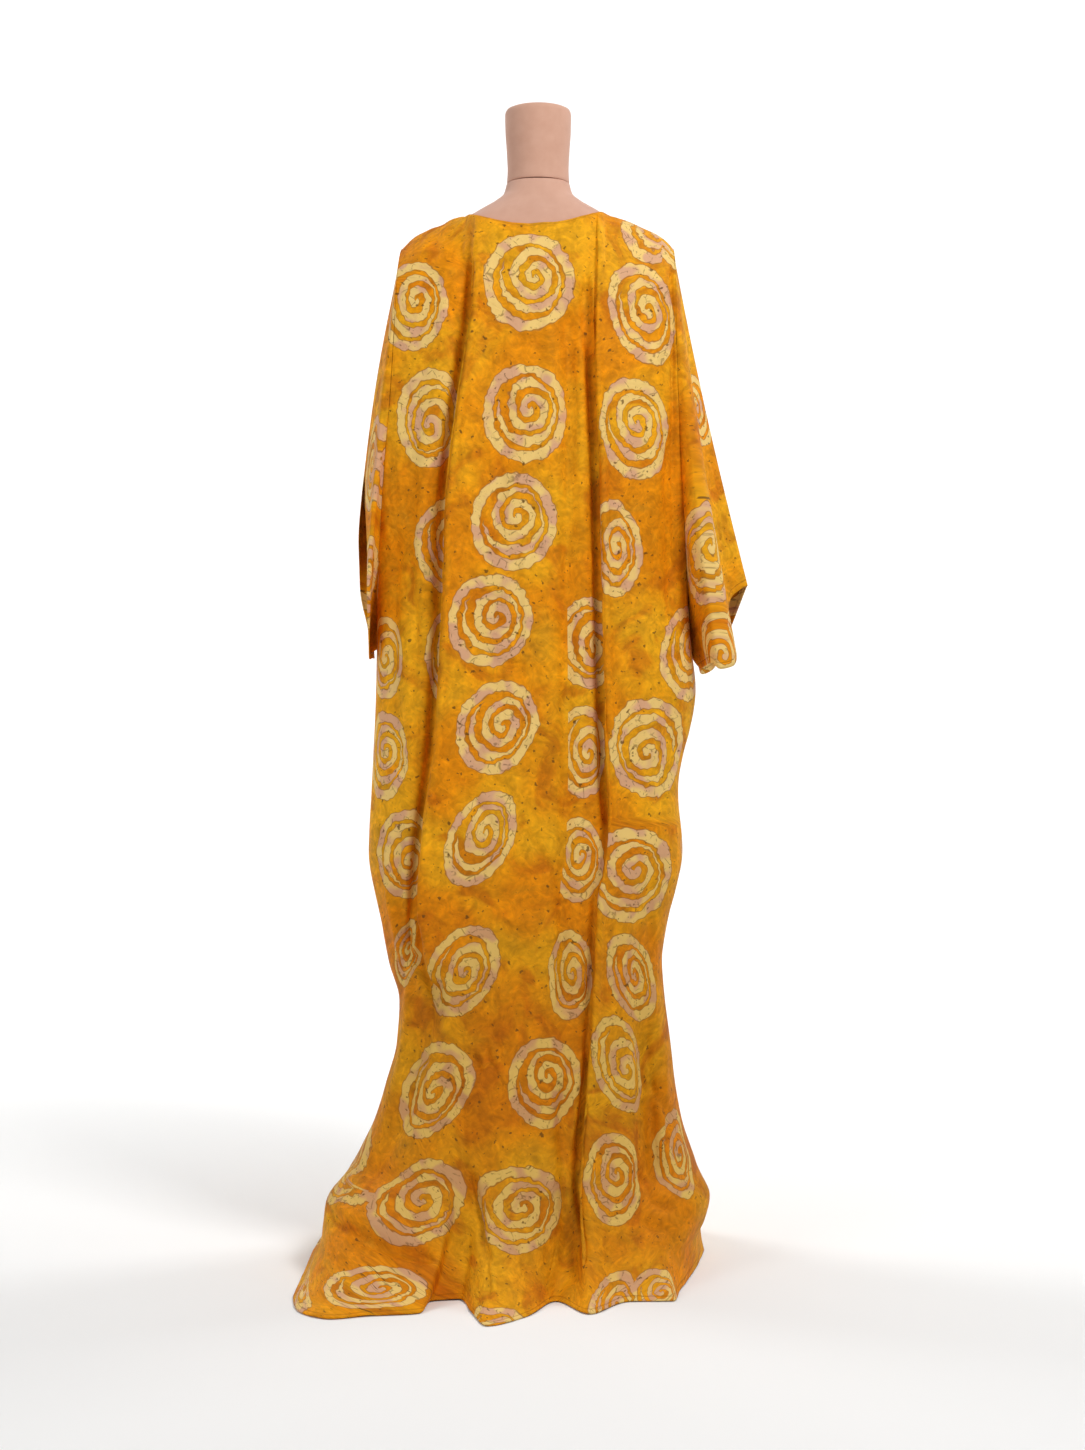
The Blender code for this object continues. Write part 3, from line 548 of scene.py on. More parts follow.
def panelGrid(panel):
    columns = np.linspace(0, 1, panel["columns"] + 1)
    rows = yokeRows(panel, columns)
    for height in np.linspace(cloth["yokeFoot"], cloth["skirtFoot"], panel["hangRows"]):
        x, out = hangRow(panel, height, columns)
        rows.append(np.stack([x, out, np.full(len(columns), height)], axis=1))
    rows += footRows(panel, columns)
    points = np.array(rows)
    if panel["side"] == "back":
        points[:, :, 1] *= -1
    return points


def gridNormals(points):
    down = np.gradient(points, axis=0)
    across = np.gradient(points, axis=1)
    normal = np.cross(across, down)
    return normal / np.linalg.norm(normal, axis=2, keepdims=True)


def outwardNormals(points):
    # away from the form's axis
    normal = gridNormals(points)
    middle = normal[points.shape[0] // 2, points.shape[1] // 2]
    centre = points[points.shape[0] // 2, points.shape[1] // 2]
    return normal if middle[0] * centre[0] + middle[1] * centre[1] > 0 else -normal


def alongPath(points, path):
    # the nearest place on a path across and up: how far off it a point is, to which side, and how far along
    nearest = np.full(points.shape[:2], 9.0)
    side = np.zeros(points.shape[:2])
    along = np.zeros(points.shape[:2])
    start = 0.0
    for (x1, z1), (x2, z2) in zip(path[:-1], path[1:]):
        length = math.hypot(x2 - x1, z2 - z1)
        alongX, alongZ = (x2 - x1) / length, (z2 - z1) / length
        awayX, awayZ = points[:, :, 0] - x1, points[:, :, 2] - z1
        reach = np.clip(awayX * alongX + awayZ * alongZ, 0, length)
        distance = np.hypot(awayX - reach * alongX, awayZ - reach * alongZ)
        closer = distance < nearest
        nearest = np.where(closer, distance, nearest)
        side = np.where(closer, awayZ * alongX - awayX * alongZ, side)
        along = np.where(closer, start + reach, along)
        start += length
    return nearest, np.sign(side), along / start, start


def pressCreases(points, creases, outward):
    # each crease swells or sinks the cloth beside its path, and fades out at both ends
    lift = np.zeros(points.shape[:2])
    for crease in creases:
        away, side, along, length = alongPath(points, crease.path)
        t = away / crease.width
        ends = np.clip(np.minimum(along, 1 - along) * length / (3.2 * crease.width), 0, 1)
        ends = ends * ends * (3 - 2 * ends)
        profile = np.exp(-t * t) if crease.kind == "soft" else 2.33 * side * t * np.exp(-t * t)
        lift += crease.depth * profile * ends
    # the walls inside a lapped fold stay as they are
    lift *= np.clip((np.abs(outward[:, :, 1]) - 0.25) / 0.4, 0, 1)
    return points + outward * lift[:, :, None]


def formSurface():
    shape = bmesh.new()
    shape.from_mesh(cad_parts["form_torso"].data)
    surface = BVHTree.FromBMesh(shape)
    shape.free()
    return surface


def restOn(points, surface):
    # cloth that would enter the form lies on it instead
    rested = points.copy()
    for index in np.ndindex(points.shape[:2]):
        if points[index][2] < dressForm["foot"] - 0.04:
            continue
        point = Vector(points[index])
        place, normal, _, distance = surface.find_nearest(point, 0.05)
        if place is None:
            continue
        height = distance if (point - place).dot(normal) >= 0 else -distance
        if height < cloth["clearance"]:
            rested[index] += np.array(normal * (cloth["clearance"] - height))
    return rested


def flatCloth(points, start, row):
    # cloth coordinates in metres: along each row from the middle plane, and down each column from one row
    across = np.linalg.norm(np.diff(points, axis=1), axis=2)
    u = np.concatenate([np.zeros((points.shape[0], 1)), np.cumsum(across, axis=1)], axis=1)
    for i in range(points.shape[0]):
        u[i] += start - np.interp(0.0, np.maximum.accumulate(points[i, :, 0]), u[i])
    down = np.linalg.norm(np.diff(points, axis=0), axis=2)
    v = np.concatenate([np.zeros((1, points.shape[1])), np.cumsum(down, axis=0)], axis=0)
    return np.stack([u, v - v[row]], axis=2)


# The print: wax-resist spirals in loose columns
backSpirals = [
    # down the middle
    Spiral(-0.012, 1.311, 0.062, 0.068, 0.0, 0.1), Spiral(-0.016, 1.134, 0.058, 0.066, 0.0, 0.0),
    Spiral(-0.032, 0.990, 0.058, 0.066, 0.0, -0.3), Spiral(-0.063, 0.860, 0.058, 0.063, 0.05, 0.2),
    Spiral(-0.054, 0.720, 0.055, 0.062, 0.15, 0.5), Spiral(-0.075, 0.575, 0.046, 0.064, 0.30, -0.2),
    Spiral(-0.103, 0.397, 0.051, 0.065, 0.34, 0.4), Spiral(-0.142, 0.243, 0.060, 0.066, 0.42, 0.8),
    Spiral(-0.157, 0.108, 0.066, 0.062, 0.25, 0.2), Spiral(-0.205, 0.021, 0.070, 0.040, 0.0, 0.3),
    # down the right of the middle, some of them in the narrow lapped strip
    Spiral(0.141, 1.271, 0.049, 0.071, -0.17, 0.3), Spiral(0.127, 1.116, 0.053, 0.069, -0.08, -0.2),
    Spiral(0.099, 0.956, 0.046, 0.065, -0.05, 0.6), Spiral(0.071, 0.832, 0.056, 0.062, 0.0, 1.5, "narrow"),
    Spiral(0.060, 0.688, 0.041, 0.061, 0.0, 0.9, "narrow"),
    Spiral(0.052, 0.545, 0.037, 0.057, 0.0, 0.0, "narrow"),
    Spiral(0.041, 0.394, 0.034, 0.061, 0.0, 0.4), Spiral(0.010, 0.256, 0.050, 0.060, 0.0, -0.4),
    Spiral(-0.027, 0.103, 0.067, 0.060, 0.0, 0.1), Spiral(-0.056, -0.020, 0.058, 0.058, 0.0, 0.5),
    # down the left
    Spiral(-0.168, 1.284, 0.050, 0.064, 0.0, 0.2), Spiral(-0.143, 1.130, 0.051, 0.068, 0.0, 2.2),
    Spiral(-0.124, 0.961, 0.052, 0.064, 0.0, 0.3, "left"),
    Spiral(-0.1256, 0.813, 0.040, 0.061, 0.0, 0.0, "left"),
    Spiral(-0.208, 0.814, 0.040, 0.057, 0.0, 0.7), Spiral(-0.206, 0.682, 0.045, 0.060, 0.0, -0.2),
    Spiral(-0.173, 0.551, 0.056, 0.060, 0.0, 1.9, "left"),
    Spiral(-0.175, 0.419, 0.024, 0.050, 0.2, 0.0, "left"),
    Spiral(-0.258, 0.128, 0.105, 0.060, 0.3, 0.4), Spiral(-0.296, 0.026, 0.062, 0.070, 0.0, 0.0),
    # down the right
    Spiral(0.201, 0.820, 0.060, 0.065, 0.0, 0.2), Spiral(0.151, 0.693, 0.068, 0.068, 0.0, 2.9, "right"),
    Spiral(0.122, 0.525, 0.073, 0.063, 0.0, 0.0, "right"), Spiral(0.196, 0.561, 0.024, 0.042, 0.0, 0.3),
    Spiral(0.125, 0.389, 0.042, 0.060, -0.26, 0.5, "right"), Spiral(0.110, 0.277, 0.045, 0.065, -0.29, 1.2),
    Spiral(0.098, 0.136, 0.043, 0.062, -0.05, 0.0), Spiral(0.092, 0.000, 0.050, 0.052, 0.0, 0.9),
    Spiral(0.152, 0.006, 0.036, 0.044, 0.0, 0.0), Spiral(0.184, 0.153, 0.042, 0.060, -0.15, 0.4),
    # over the right shoulder
    Spiral(0.178, 1.392, 0.076, 0.080, 0.0, 0.5),
]
lattice = {"spacing": 0.152, "radius": 0.063, "jitter": 0.010, "seed": 11}


def chartedMotifs(points, flat, spirals):
    # cloth coordinates round each spiral: along each row from the upright plane through its middle, and
    # down each column from the level plane through its middle
    motifs = []
    ordered = np.maximum.accumulate(points[:, :, 0], axis=1)
    falling = np.maximum.accumulate(-points[:, :, 2], axis=0)
    for spiral in spirals:
        u = np.array([np.interp(spiral.across, ordered[i], flat[i, :, 0]) for i in range(points.shape[0])])
        v = []
        for j in range(points.shape[1]):
            below = max(0.0, falling[-1, j] * -1 - spiral.height)
            v.append(np.interp(-spiral.height, falling[:, j], flat[:, j, 1]) + below)
        local = flat - np.stack(np.broadcast_arrays(u[:, None], np.array(v)[None, :]), axis=2)
        motifs.append(Motif(0.0, 0.0, local, *spiral[2:6], strips[spiral.strip]))
    return motifs


def latticeMotifs(start):
    # an even repeat with a little hand stamping in it
    chance = np.random.default_rng(lattice["seed"])
    motifs = []
    spacing = lattice["spacing"]
    for i in range(-8, 9):
        for j in range(-2, 12):
            u = start + (i + 0.5) * spacing + chance.uniform(-1, 1) * lattice["jitter"]
            v = (j + 0.45) * spacing + chance.uniform(-1, 1) * lattice["jitter"]
            size = lattice["radius"] * chance.uniform(0.94, 1.05)
            motifs.append(Motif(u, v, None, size, size, 0.0, chance.uniform(-0.5, 0.9), strips["all"]))
    return motifs


def cuffMotifs(points, spirals):
    # spirals of the sleeve's own, each laid level on the cloth round the point that shows nearest its middle
    motifs = []
    half = (points.shape[1] + 1) // 2
    normals = outwardNormals(points)
    for spiral in spirals:
        away = np.hypot(points[:, :half, 0] - spiral.across, points[:, :half, 2] - spiral.height)
        centre = points[np.unravel_index(np.argmin(away), away.shape)]
        offset = points - centre
        near = np.linalg.norm(offset, axis=2) < 0.035
        outward = normals[near].mean(axis=0)
        outward /= np.linalg.norm(outward)
        if outward[1] > 0:
            outward = -outward
        right = np.cross([0.0, 0.0, 1.0], -outward)
        right /= np.linalg.norm(right)
        down = np.cross(-outward, right)
        aside = offset @ right
        aside = np.where(aside < 0, -1, 1) * np.hypot(aside, offset @ outward)
        local = np.stack([aside, offset @ (down if down[2] < 0 else -down)], axis=2)
        motifs.append(Motif(0.0, 0.0, local, *spiral[2:6], strips[spiral.strip]))
    return motifs


def motifPlace(motif, flat):
    # where each point of the cloth lies in a spiral's own round, its rim being at one
    local = flat - np.array([motif.u, motif.v]) if motif.local is None else motif.local
    return np.stack([(local[:, :, 0] + motif.lean * local[:, :, 1]) / motif.halfWidth,
                     local[:, :, 1] / motif.halfHeight], axis=2)


def makeCloth(name, points, flat, motifs, edges, shares, material):
    # a sheet through the grid, with its cloth coordinates, its place in the nearest motif and its hems
    rows, columns = points.shape[:2]
    index = np.arange(rows * columns).reshape(rows, columns)
    quads = np.stack([index[:-1, :-1], index[1:, :-1], index[1:, 1:], index[:-1, 1:]], axis=2).reshape(-1, 4)
    mesh = bpy.data.meshes.new(name)
    mesh.from_pydata(points.reshape(-1, 3).tolist(), [], quads.tolist())
    corners = quads.reshape(-1)
    flatList = flat.reshape(-1, 2)
    faceShare = np.broadcast_to(shares, (rows, columns)).reshape(-1)[quads].mean(axis=1)
    nearest = np.zeros(len(quads), dtype=int)
    best = np.full(len(quads), 1e9)
    motifUv = np.full((len(quads), 4, 2), 5.0)
    for k, motif in enumerate(motifs):
        place = motifPlace(motif, flat).reshape(-1, 2)[quads]
        away = np.linalg.norm(place.mean(axis=1), axis=1)
        away[(faceShare < motif.strip[0]) | (faceShare > motif.strip[1])] = 1e8
        closer = away < best
        best[closer] = away[closer]
        nearest[closer] = k
        cosine, sine = math.cos(motif.turn), math.sin(motif.turn)
        turned = np.stack([place[:, :, 0] * cosine + place[:, :, 1] * sine,
                           place[:, :, 1] * cosine - place[:, :, 0] * sine], axis=2)
        motifUv[closer] = turned[closer]
    motifUv = motifUv.reshape(-1, 2)
    owner = np.repeat(nearest, 4)
    seedUv = np.stack([owner * 0.37 % 1.0, owner * 0.73 % 1.0], axis=1)
    edgeUv = edges.reshape(-1, 2)[corners]
    for layerName, values in (("cloth", flatList[corners]), ("motif", motifUv),
                              ("seed", seedUv), ("edge", edgeUv)):
        layer = mesh.uv_layers.new(name=layerName)
        layer.data.foreach_set("uv", values.astype(np.float32).reshape(-1))
    mesh.materials.append(material)
    mesh.shade_smooth()
    item = bpy.data.objects.new(name, mesh)
    bpy.context.scene.collection.objects.link(item)
    probe = mesh.polygons[len(quads) // 2]
    if probe.normal.x * probe.center.x + probe.normal.y * probe.center.y < 0:
        mesh.flip_normals()
    solid = item.modifiers.new("shell", "SOLIDIFY")
    solid.thickness = cloth["shell"]
    solid.offset = 0.0
    solid.use_even_offset = False
    return item


def armholeEdge(points, column, panel):
    # the side edge of a panel from the shoulder down to the underarm, and how far along each point is
    keys = [0.0, 0.11, 0.22, 0.34, 0.47, 0.62, 0.80, 1.0]
    heights = [1.270, 1.200, 1.120, 1.040, 0.960, 0.890, 0.830]
    along = []
    for share in np.linspace(0, 1, panel["yokeRows"], endpoint=False):
        along.append(np.interp(share, keys, range(8)))
    for height in np.linspace(cloth["yokeFoot"], cloth["skirtFoot"], panel["hangRows"]):
        along.append(np.interp(-height, [-value for value in heights], range(7, 14)))
    edge = points[:len(along), column]
    return np.array(along) / 26, edge


def sleeveGrid(name, backPoints, frontPoints):
    # from the side edges of both panels, between the underarm and the shoulder, to the cuff
    sleeve = sleeves[name]
    hand = sleeve["hand"]
    turns = np.linspace(0, 1, sleeve["columns"] + 1)
    column = -1 if hand > 0 else 0
    along, edge = armholeEdge(backPoints, column, back)
    aheadAlong, ahead = armholeEdge(frontPoints, column, front)
    keep, aheadKeep = along < 0.4999, aheadAlong < 0.4999
    armhole = []
    for axis in range(3):
        behind = np.interp(0.5 - turns, np.append(along[keep], 0.5),
                           np.append(edge[keep, axis], [edge[~keep, axis][0]]))
        before = np.interp(turns - 0.5, np.append(aheadAlong[aheadKeep], 0.5),
                           np.append(ahead[aheadKeep, axis], [ahead[~aheadKeep, axis][0]]))
        armhole.append(np.where(turns <= 0.5, behind, before))
    armhole = np.stack(armhole, axis=1)
    armhole[:, 0] += hand * cloth["shell"] * (0.7 + 0.6 * (2 * turns - 1) ** 2)
    armhole[0, 1] = min(armhole[0, 1], -0.0012)
    armhole[-1, 1] = max(armhole[-1, 1], 0.0012)
    ends = np.stack([read(sleeve["cuff"], "turn", axis, turns) for axis in "xyz"], axis=1)
    rows = []
    for share in np.linspace(0, 1, sleeve["rows"] + 1):
        row = armhole + (ends - armhole) * share
        row[:, 0] += hand * sleeve["bulge"] * math.sin(math.pi * share)
        rows.append(row)
    return np.array(rows)


def sleeveField(points, hand, backPoints, frontPoints, backField, frontField):
    # cloth coordinates run on over the armhole: a sleeve's are counted from the panels' side edges
    column = -1 if hand > 0 else 0
    half = (points.shape[1] - 1) // 2
    field = np.zeros(points.shape[:2] + (2,))
    for panelPoints, panelField, part in ((backPoints, backField, slice(0, half + 1)),
                                          (frontPoints, frontField, slice(half + 1, None))):
        edge = panelPoints[:, column]
        order = np.argsort(edge[:, 2])
        height = points[:, part, 2]
        edgeX, edgeY, edgeU, edgeV = (np.interp(height, edge[order, 2], values[order]) for values in (
            edge[:, 0], edge[:, 1], panelField[:, column, 0], panelField[:, column, 1]))
        away = np.hypot(points[:, part, 0] - edgeX, points[:, part, 1] - edgeY)
        field[:, part, 0] = edgeU + hand * away
        field[:, part, 1] = edgeV
    return field


def sleeveMotifs(points, hand, backPoints, frontPoints, motifs):
    # the back's own spirals carried on to the sleeve's back half
    faraway = np.full(frontPoints.shape[:2] + (2,), 9.0)
    return [motif._replace(local=sleeveField(points, hand, backPoints, frontPoints, motif.local, faraway))
            for motif in motifs]


def edgeDistances(points, top, bottom):
    # how far each point is from the finished edge along the cloth, and where along that edge
    down = np.linalg.norm(np.diff(points, axis=0), axis=2)
    fromTop = np.concatenate([np.zeros((1, points.shape[1])), np.cumsum(down, axis=0)], axis=0)
    fromBottom = fromTop[-1][None, :] - fromTop
    away = np.full(points.shape[:2], 1.0)
    if bottom:
        away = np.minimum(away, fromBottom)
    if top is not None:
        away = np.where(top[None, :], np.minimum(away, fromTop), away)
    lengths = np.linalg.norm(np.diff(points[-1], axis=0), axis=1)
    along = np.concatenate([[0], np.cumsum(lengths)])
    return np.stack([away, np.broadcast_to(along, away.shape)], axis=2)


def hexColour(code):
    # an sRGB colour as linear light
    linear = []
    for i in (1, 3, 5):
        value = int(code[i:i + 2], 16) / 255
        linear.append(value / 12.92 if value <= 0.04045 else ((value + 0.055) / 1.055) ** 2.4)
    return (*linear, 1.0)


def addNode(tree, kind, inputs, **settings):
    node = tree.nodes.new(kind)
    for key, value in settings.items():
        setattr(node, key, value)
    for socket, value in inputs.items():
        if isinstance(value, bpy.types.NodeSocket):
            tree.links.new(value, node.inputs[socket])
        else:
            node.inputs[socket].default_value = value
    return node.outputs


def newMaterial(name):
    material = bpy.data.materials.new(name)
    material.use_nodes = True
    return material, material.node_tree, material.node_tree.nodes["Principled BSDF"]


waxPrint = {
    "goldenOrange": "#E28900",
    "yellow": "#E8A412",
    "burntOrange": "#C06500",
    "olive": "#C08C1E",
    "cream": "#EDC776",
    "mauve": "#D8A57E",
    "outline": "#9A5E0C",
    # the colour the lower skirt is multiplied by, to make it darker
    "skirtDarkening": "#E7E1C6",
    "crackle": "#5E3E10",
    "roughness": 0.74,
    # a spiral's parts, as shares of its own radius
    "ringInside": (0.750, 0.785),
    "ringOutside": (1.005, 0.970),
    "innerReach": (0.700, 0.680),
    "innerMiddle": (0.11, -0.10, 0),
    "pitch": (0.290, 0.325),
    "halfBand": (0.24, 0.36),       # as shares of the pitch
    "tip": (2.62, 2.30),            # turns out, where the band ends and where it starts to taper
    "waver": 0.15,
    "nick": 0.085,
    # how strongly each mark of the dye shows
    "burnt": 0.66,
    "dulled": 0.30,
    "cracked": 0.55,
    "specked": 0.80,
    # how wide the clouds and marks of the dye are, in millimetres
    "waverSize": 27.78,
    "nickSize": 8.0,
    "bandSize": 25.0,
    "cloudSize": 181.82,
    "poolSize": 76.92,
    "leafSize": 18.182,
    "smearSize": 41.667,
    "daubSize": 29.412,
    "stretchSize": 33.333,
    "crackSize": 16.129,
    "speckSize": 8.3333,
    "crumpleSize": 29.412,
    "wrinkleSize": (15.625, 66.667),
    # down the cloth from the shoulder, in metres: where the darker band over the skirt starts and ends
    "darkeningStart": (0.60, 0.95),
    "darkeningEnd": (1.38, 1.16),
    "hemStitch": 0.008,
}


def perMetre(millimetres):
    # how often a pattern of that size comes in a metre
    return 1000 / millimetres


def waxSpiral(tree, flat, motif, seed, shift):
    # one where the wax kept the dye off. The hand of the stamp shows, so the spiral's coordinates are moved
    # by a soft noise and a fine one
    nick = addNode(tree, "ShaderNodeTexNoise", {"Vector": flat, "Detail": 0.0,
                                                "Scale": perMetre(waxPrint["nickSize"])})["Color"]
    nick = addNode(tree, "ShaderNodeVectorMath", {0: nick, 1: (0.5, 0.5, 0.5)}, operation="SUBTRACT")[0]
    nick = addNode(tree, "ShaderNodeVectorMath", {0: nick, 3: waxPrint["nick"]}, operation="SCALE")[0]
    waver = addNode(tree, "ShaderNodeVectorMath", {0: shift, 3: waxPrint["waver"]}, operation="SCALE")[0]
    waver = addNode(tree, "ShaderNodeVectorMath", {0: waver, 1: nick}, operation="ADD")[0]
    place = addNode(tree, "ShaderNodeVectorMath", {0: motif, 1: waver}, operation="ADD")[0]
    place = addNode(tree, "ShaderNodeVectorMath", {0: place, 1: (1, 1, 0)}, operation="MULTIPLY")[0]
    radius = addNode(tree, "ShaderNodeVectorMath", {0: place}, operation="LENGTH")["Value"]

    # thick outer ring
    start, end = waxPrint["ringInside"]
    ringIn = addNode(tree, "ShaderNodeMapRange", {0: radius, 1: start, 2: end},
                     interpolation_type="SMOOTHSTEP")[0]
    start, end = waxPrint["ringOutside"]
    ringOut = addNode(tree, "ShaderNodeMapRange", {0: radius, 1: start, 2: end},
                      interpolation_type="SMOOTHSTEP")[0]
    ring = addNode(tree, "ShaderNodeMath", {0: ringIn, 1: ringOut}, operation="MULTIPLY")[0]

    # inner spiral, a little off the middle: how many turns out from there each place is, past its own angle
    offset = addNode(tree, "ShaderNodeVectorMath", {0: place, 1: waxPrint["innerMiddle"]},
                     operation="SUBTRACT")[0]
    reach = addNode(tree, "ShaderNodeVectorMath", {0: offset}, operation="LENGTH")["Value"]
    parts = addNode(tree, "ShaderNodeSeparateXYZ", {0: offset})
    turn = addNode(tree, "ShaderNodeMath", {0: parts[1], 1: parts[0]}, operation="ARCTAN2")[0]
    turn = addNode(tree, "ShaderNodeMath", {0: turn, 1: 2 * math.pi}, operation="DIVIDE")[0]
    turn = addNode(tree, "ShaderNodeMath", {0: turn}, operation="FRACT")[0]
    own = addNode(tree, "ShaderNodeSeparateXYZ", {0: seed})[0]      # a number of each spiral's own
    tight, loose = waxPrint["pitch"]
    pitch = addNode(tree, "ShaderNodeMapRange", {0: own, 3: tight, 4: loose})[0]
    wound = addNode(tree, "ShaderNodeMath", {0: reach, 1: pitch}, operation="DIVIDE")[0]
    wound = addNode(tree, "ShaderNodeMath", {0: wound, 1: turn}, operation="SUBTRACT")[0]
    wound = addNode(tree, "ShaderNodeMath", {0: wound, 1: 0.5}, operation="ADD")[0]
    lap = addNode(tree, "ShaderNodeMath", {0: wound}, operation="FLOOR")[0]

    # its band is of uneven width and winds out clockwise to a tapered tip
    fromBand = addNode(tree, "ShaderNodeMath", {0: wound, 1: lap}, operation="SUBTRACT")[0]
    fromBand = addNode(tree, "ShaderNodeMath", {0: fromBand, 1: 0.5}, operation="SUBTRACT")[0]
    fromBand = addNode(tree, "ShaderNodeMath", {0: fromBand}, operation="ABSOLUTE")[0]
    swelling = addNode(tree, "ShaderNodeTexNoise", {"Vector": flat, "Detail": 0.0,
                                                    "Scale": perMetre(waxPrint["bandSize"])})[0]
    thin, thick = waxPrint["halfBand"]
    halfBand = addNode(tree, "ShaderNodeMapRange", {0: swelling, 1: 0.3, 2: 0.7, 3: thin, 4: thick})[0]
    total = addNode(tree, "ShaderNodeMath", {0: lap, 1: turn}, operation="ADD")[0]
    start, end = waxPrint["tip"]
    tip = addNode(tree, "ShaderNodeMapRange", {0: total, 1: start, 2: end},
                  interpolation_type="SMOOTHSTEP")[0]
    halfBand = addNode(tree, "ShaderNodeMath", {0: halfBand, 1: tip}, operation="MULTIPLY")[0]
    fromEdge = addNode(tree, "ShaderNodeMath", {0: fromBand, 1: halfBand}, operation="SUBTRACT")[0]
    band = addNode(tree, "ShaderNodeMapRange", {0: fromEdge, 1: 0.050, 2: -0.050},
                   interpolation_type="SMOOTHSTEP")[0]
    start, end = waxPrint["innerReach"]
    within = addNode(tree, "ShaderNodeMapRange", {0: radius, 1: start, 2: end},
                     interpolation_type="SMOOTHSTEP")[0]
    inner = addNode(tree, "ShaderNodeMath", {0: band, 1: within}, operation="MULTIPLY")[0]
    return addNode(tree, "ShaderNodeMath", {0: ring, 1: inner}, operation="MAXIMUM")[0]


def dyedGround(tree, flat, shift, pools, leaves):
    # broad clouds of yellow and orange dye, burnt where it pooled and olive where it is thin
    clouds = addNode(tree, "ShaderNodeTexNoise", {"Vector": flat, "Detail": 3.0,
                                                  "Scale": perMetre(waxPrint["cloudSize"])})[0]
    yellowed = addNode(tree, "ShaderNodeMapRange", {0: clouds, 1: 0.40, 2: 0.62},
                       interpolation_type="SMOOTHSTEP")[0]
    ground = addNode(tree, "ShaderNodeMix", {0: yellowed, 6: hexColour(waxPrint["goldenOrange"]),
                                             7: hexColour(waxPrint["yellow"])}, data_type="RGBA")[2]
    burnt = addNode(tree, "ShaderNodeMapRange", {0: pools, 1: 0.50, 2: 0.66, 4: waxPrint["burnt"]},
                    interpolation_type="SMOOTHSTEP")[0]
    ground = addNode(tree, "ShaderNodeMix", {0: burnt, 6: ground, 7: hexColour(waxPrint["burntOrange"])},
                     data_type="RGBA")[2]
    dulled = addNode(tree, "ShaderNodeMapRange", {0: pools, 1: 0.42, 2: 0.28, 4: waxPrint["dulled"]},
                     interpolation_type="SMOOTHSTEP")[0]
    ground = addNode(tree, "ShaderNodeMix", {0: dulled, 6: ground, 7: hexColour(waxPrint["olive"])},
                     data_type="RGBA")[2]

    # leaf-like daubs and smears of the brush in it
    smear = addNode(tree, "ShaderNodeTexNoise", {"Vector": flat, "Detail": 3.0, "Distortion": 3.2,
                                                 "Scale": perMetre(waxPrint["smearSize"])})[0]
    fine = addNode(tree, "ShaderNodeMapRange", {0: leaves, 1: 0.3, 2: 0.7, 3: 0.82, 4: 1.16})[0]
    broad = addNode(tree, "ShaderNodeMapRange", {0: smear, 1: 0.32, 2: 0.68, 3: 0.84, 4: 1.12})[0]
    daubPlace = addNode(tree, "ShaderNodeVectorMath", {0: shift, 3: 0.05}, operation="SCALE")[0]
    daubPlace = addNode(tree, "ShaderNodeVectorMath", {0: flat, 1: daubPlace}, operation="ADD")[0]
    daub = addNode(tree, "ShaderNodeTexVoronoi", {"Vector": daubPlace,
                                                  "Scale": perMetre(waxPrint["daubSize"])})["Color"]
    daub = addNode(tree, "ShaderNodeSeparateXYZ", {0: daub})[0]
    daubed = addNode(tree, "ShaderNodeMapRange", {0: daub, 3: 0.91, 4: 1.07})[0]
    streak = addNode(tree, "ShaderNodeMath", {0: fine, 1: broad}, operation="MULTIPLY")[0]
    streak = addNode(tree, "ShaderNodeMath", {0: streak, 1: daubed}, operation="MULTIPLY")[0]
    grey = addNode(tree, "ShaderNodeCombineColor", {0: streak, 1: streak, 2: streak})[0]
    return addNode(tree, "ShaderNodeMix", {0: 1.0, 6: ground, 7: grey}, data_type="RGBA",
                   blend_type="MULTIPLY")[2]


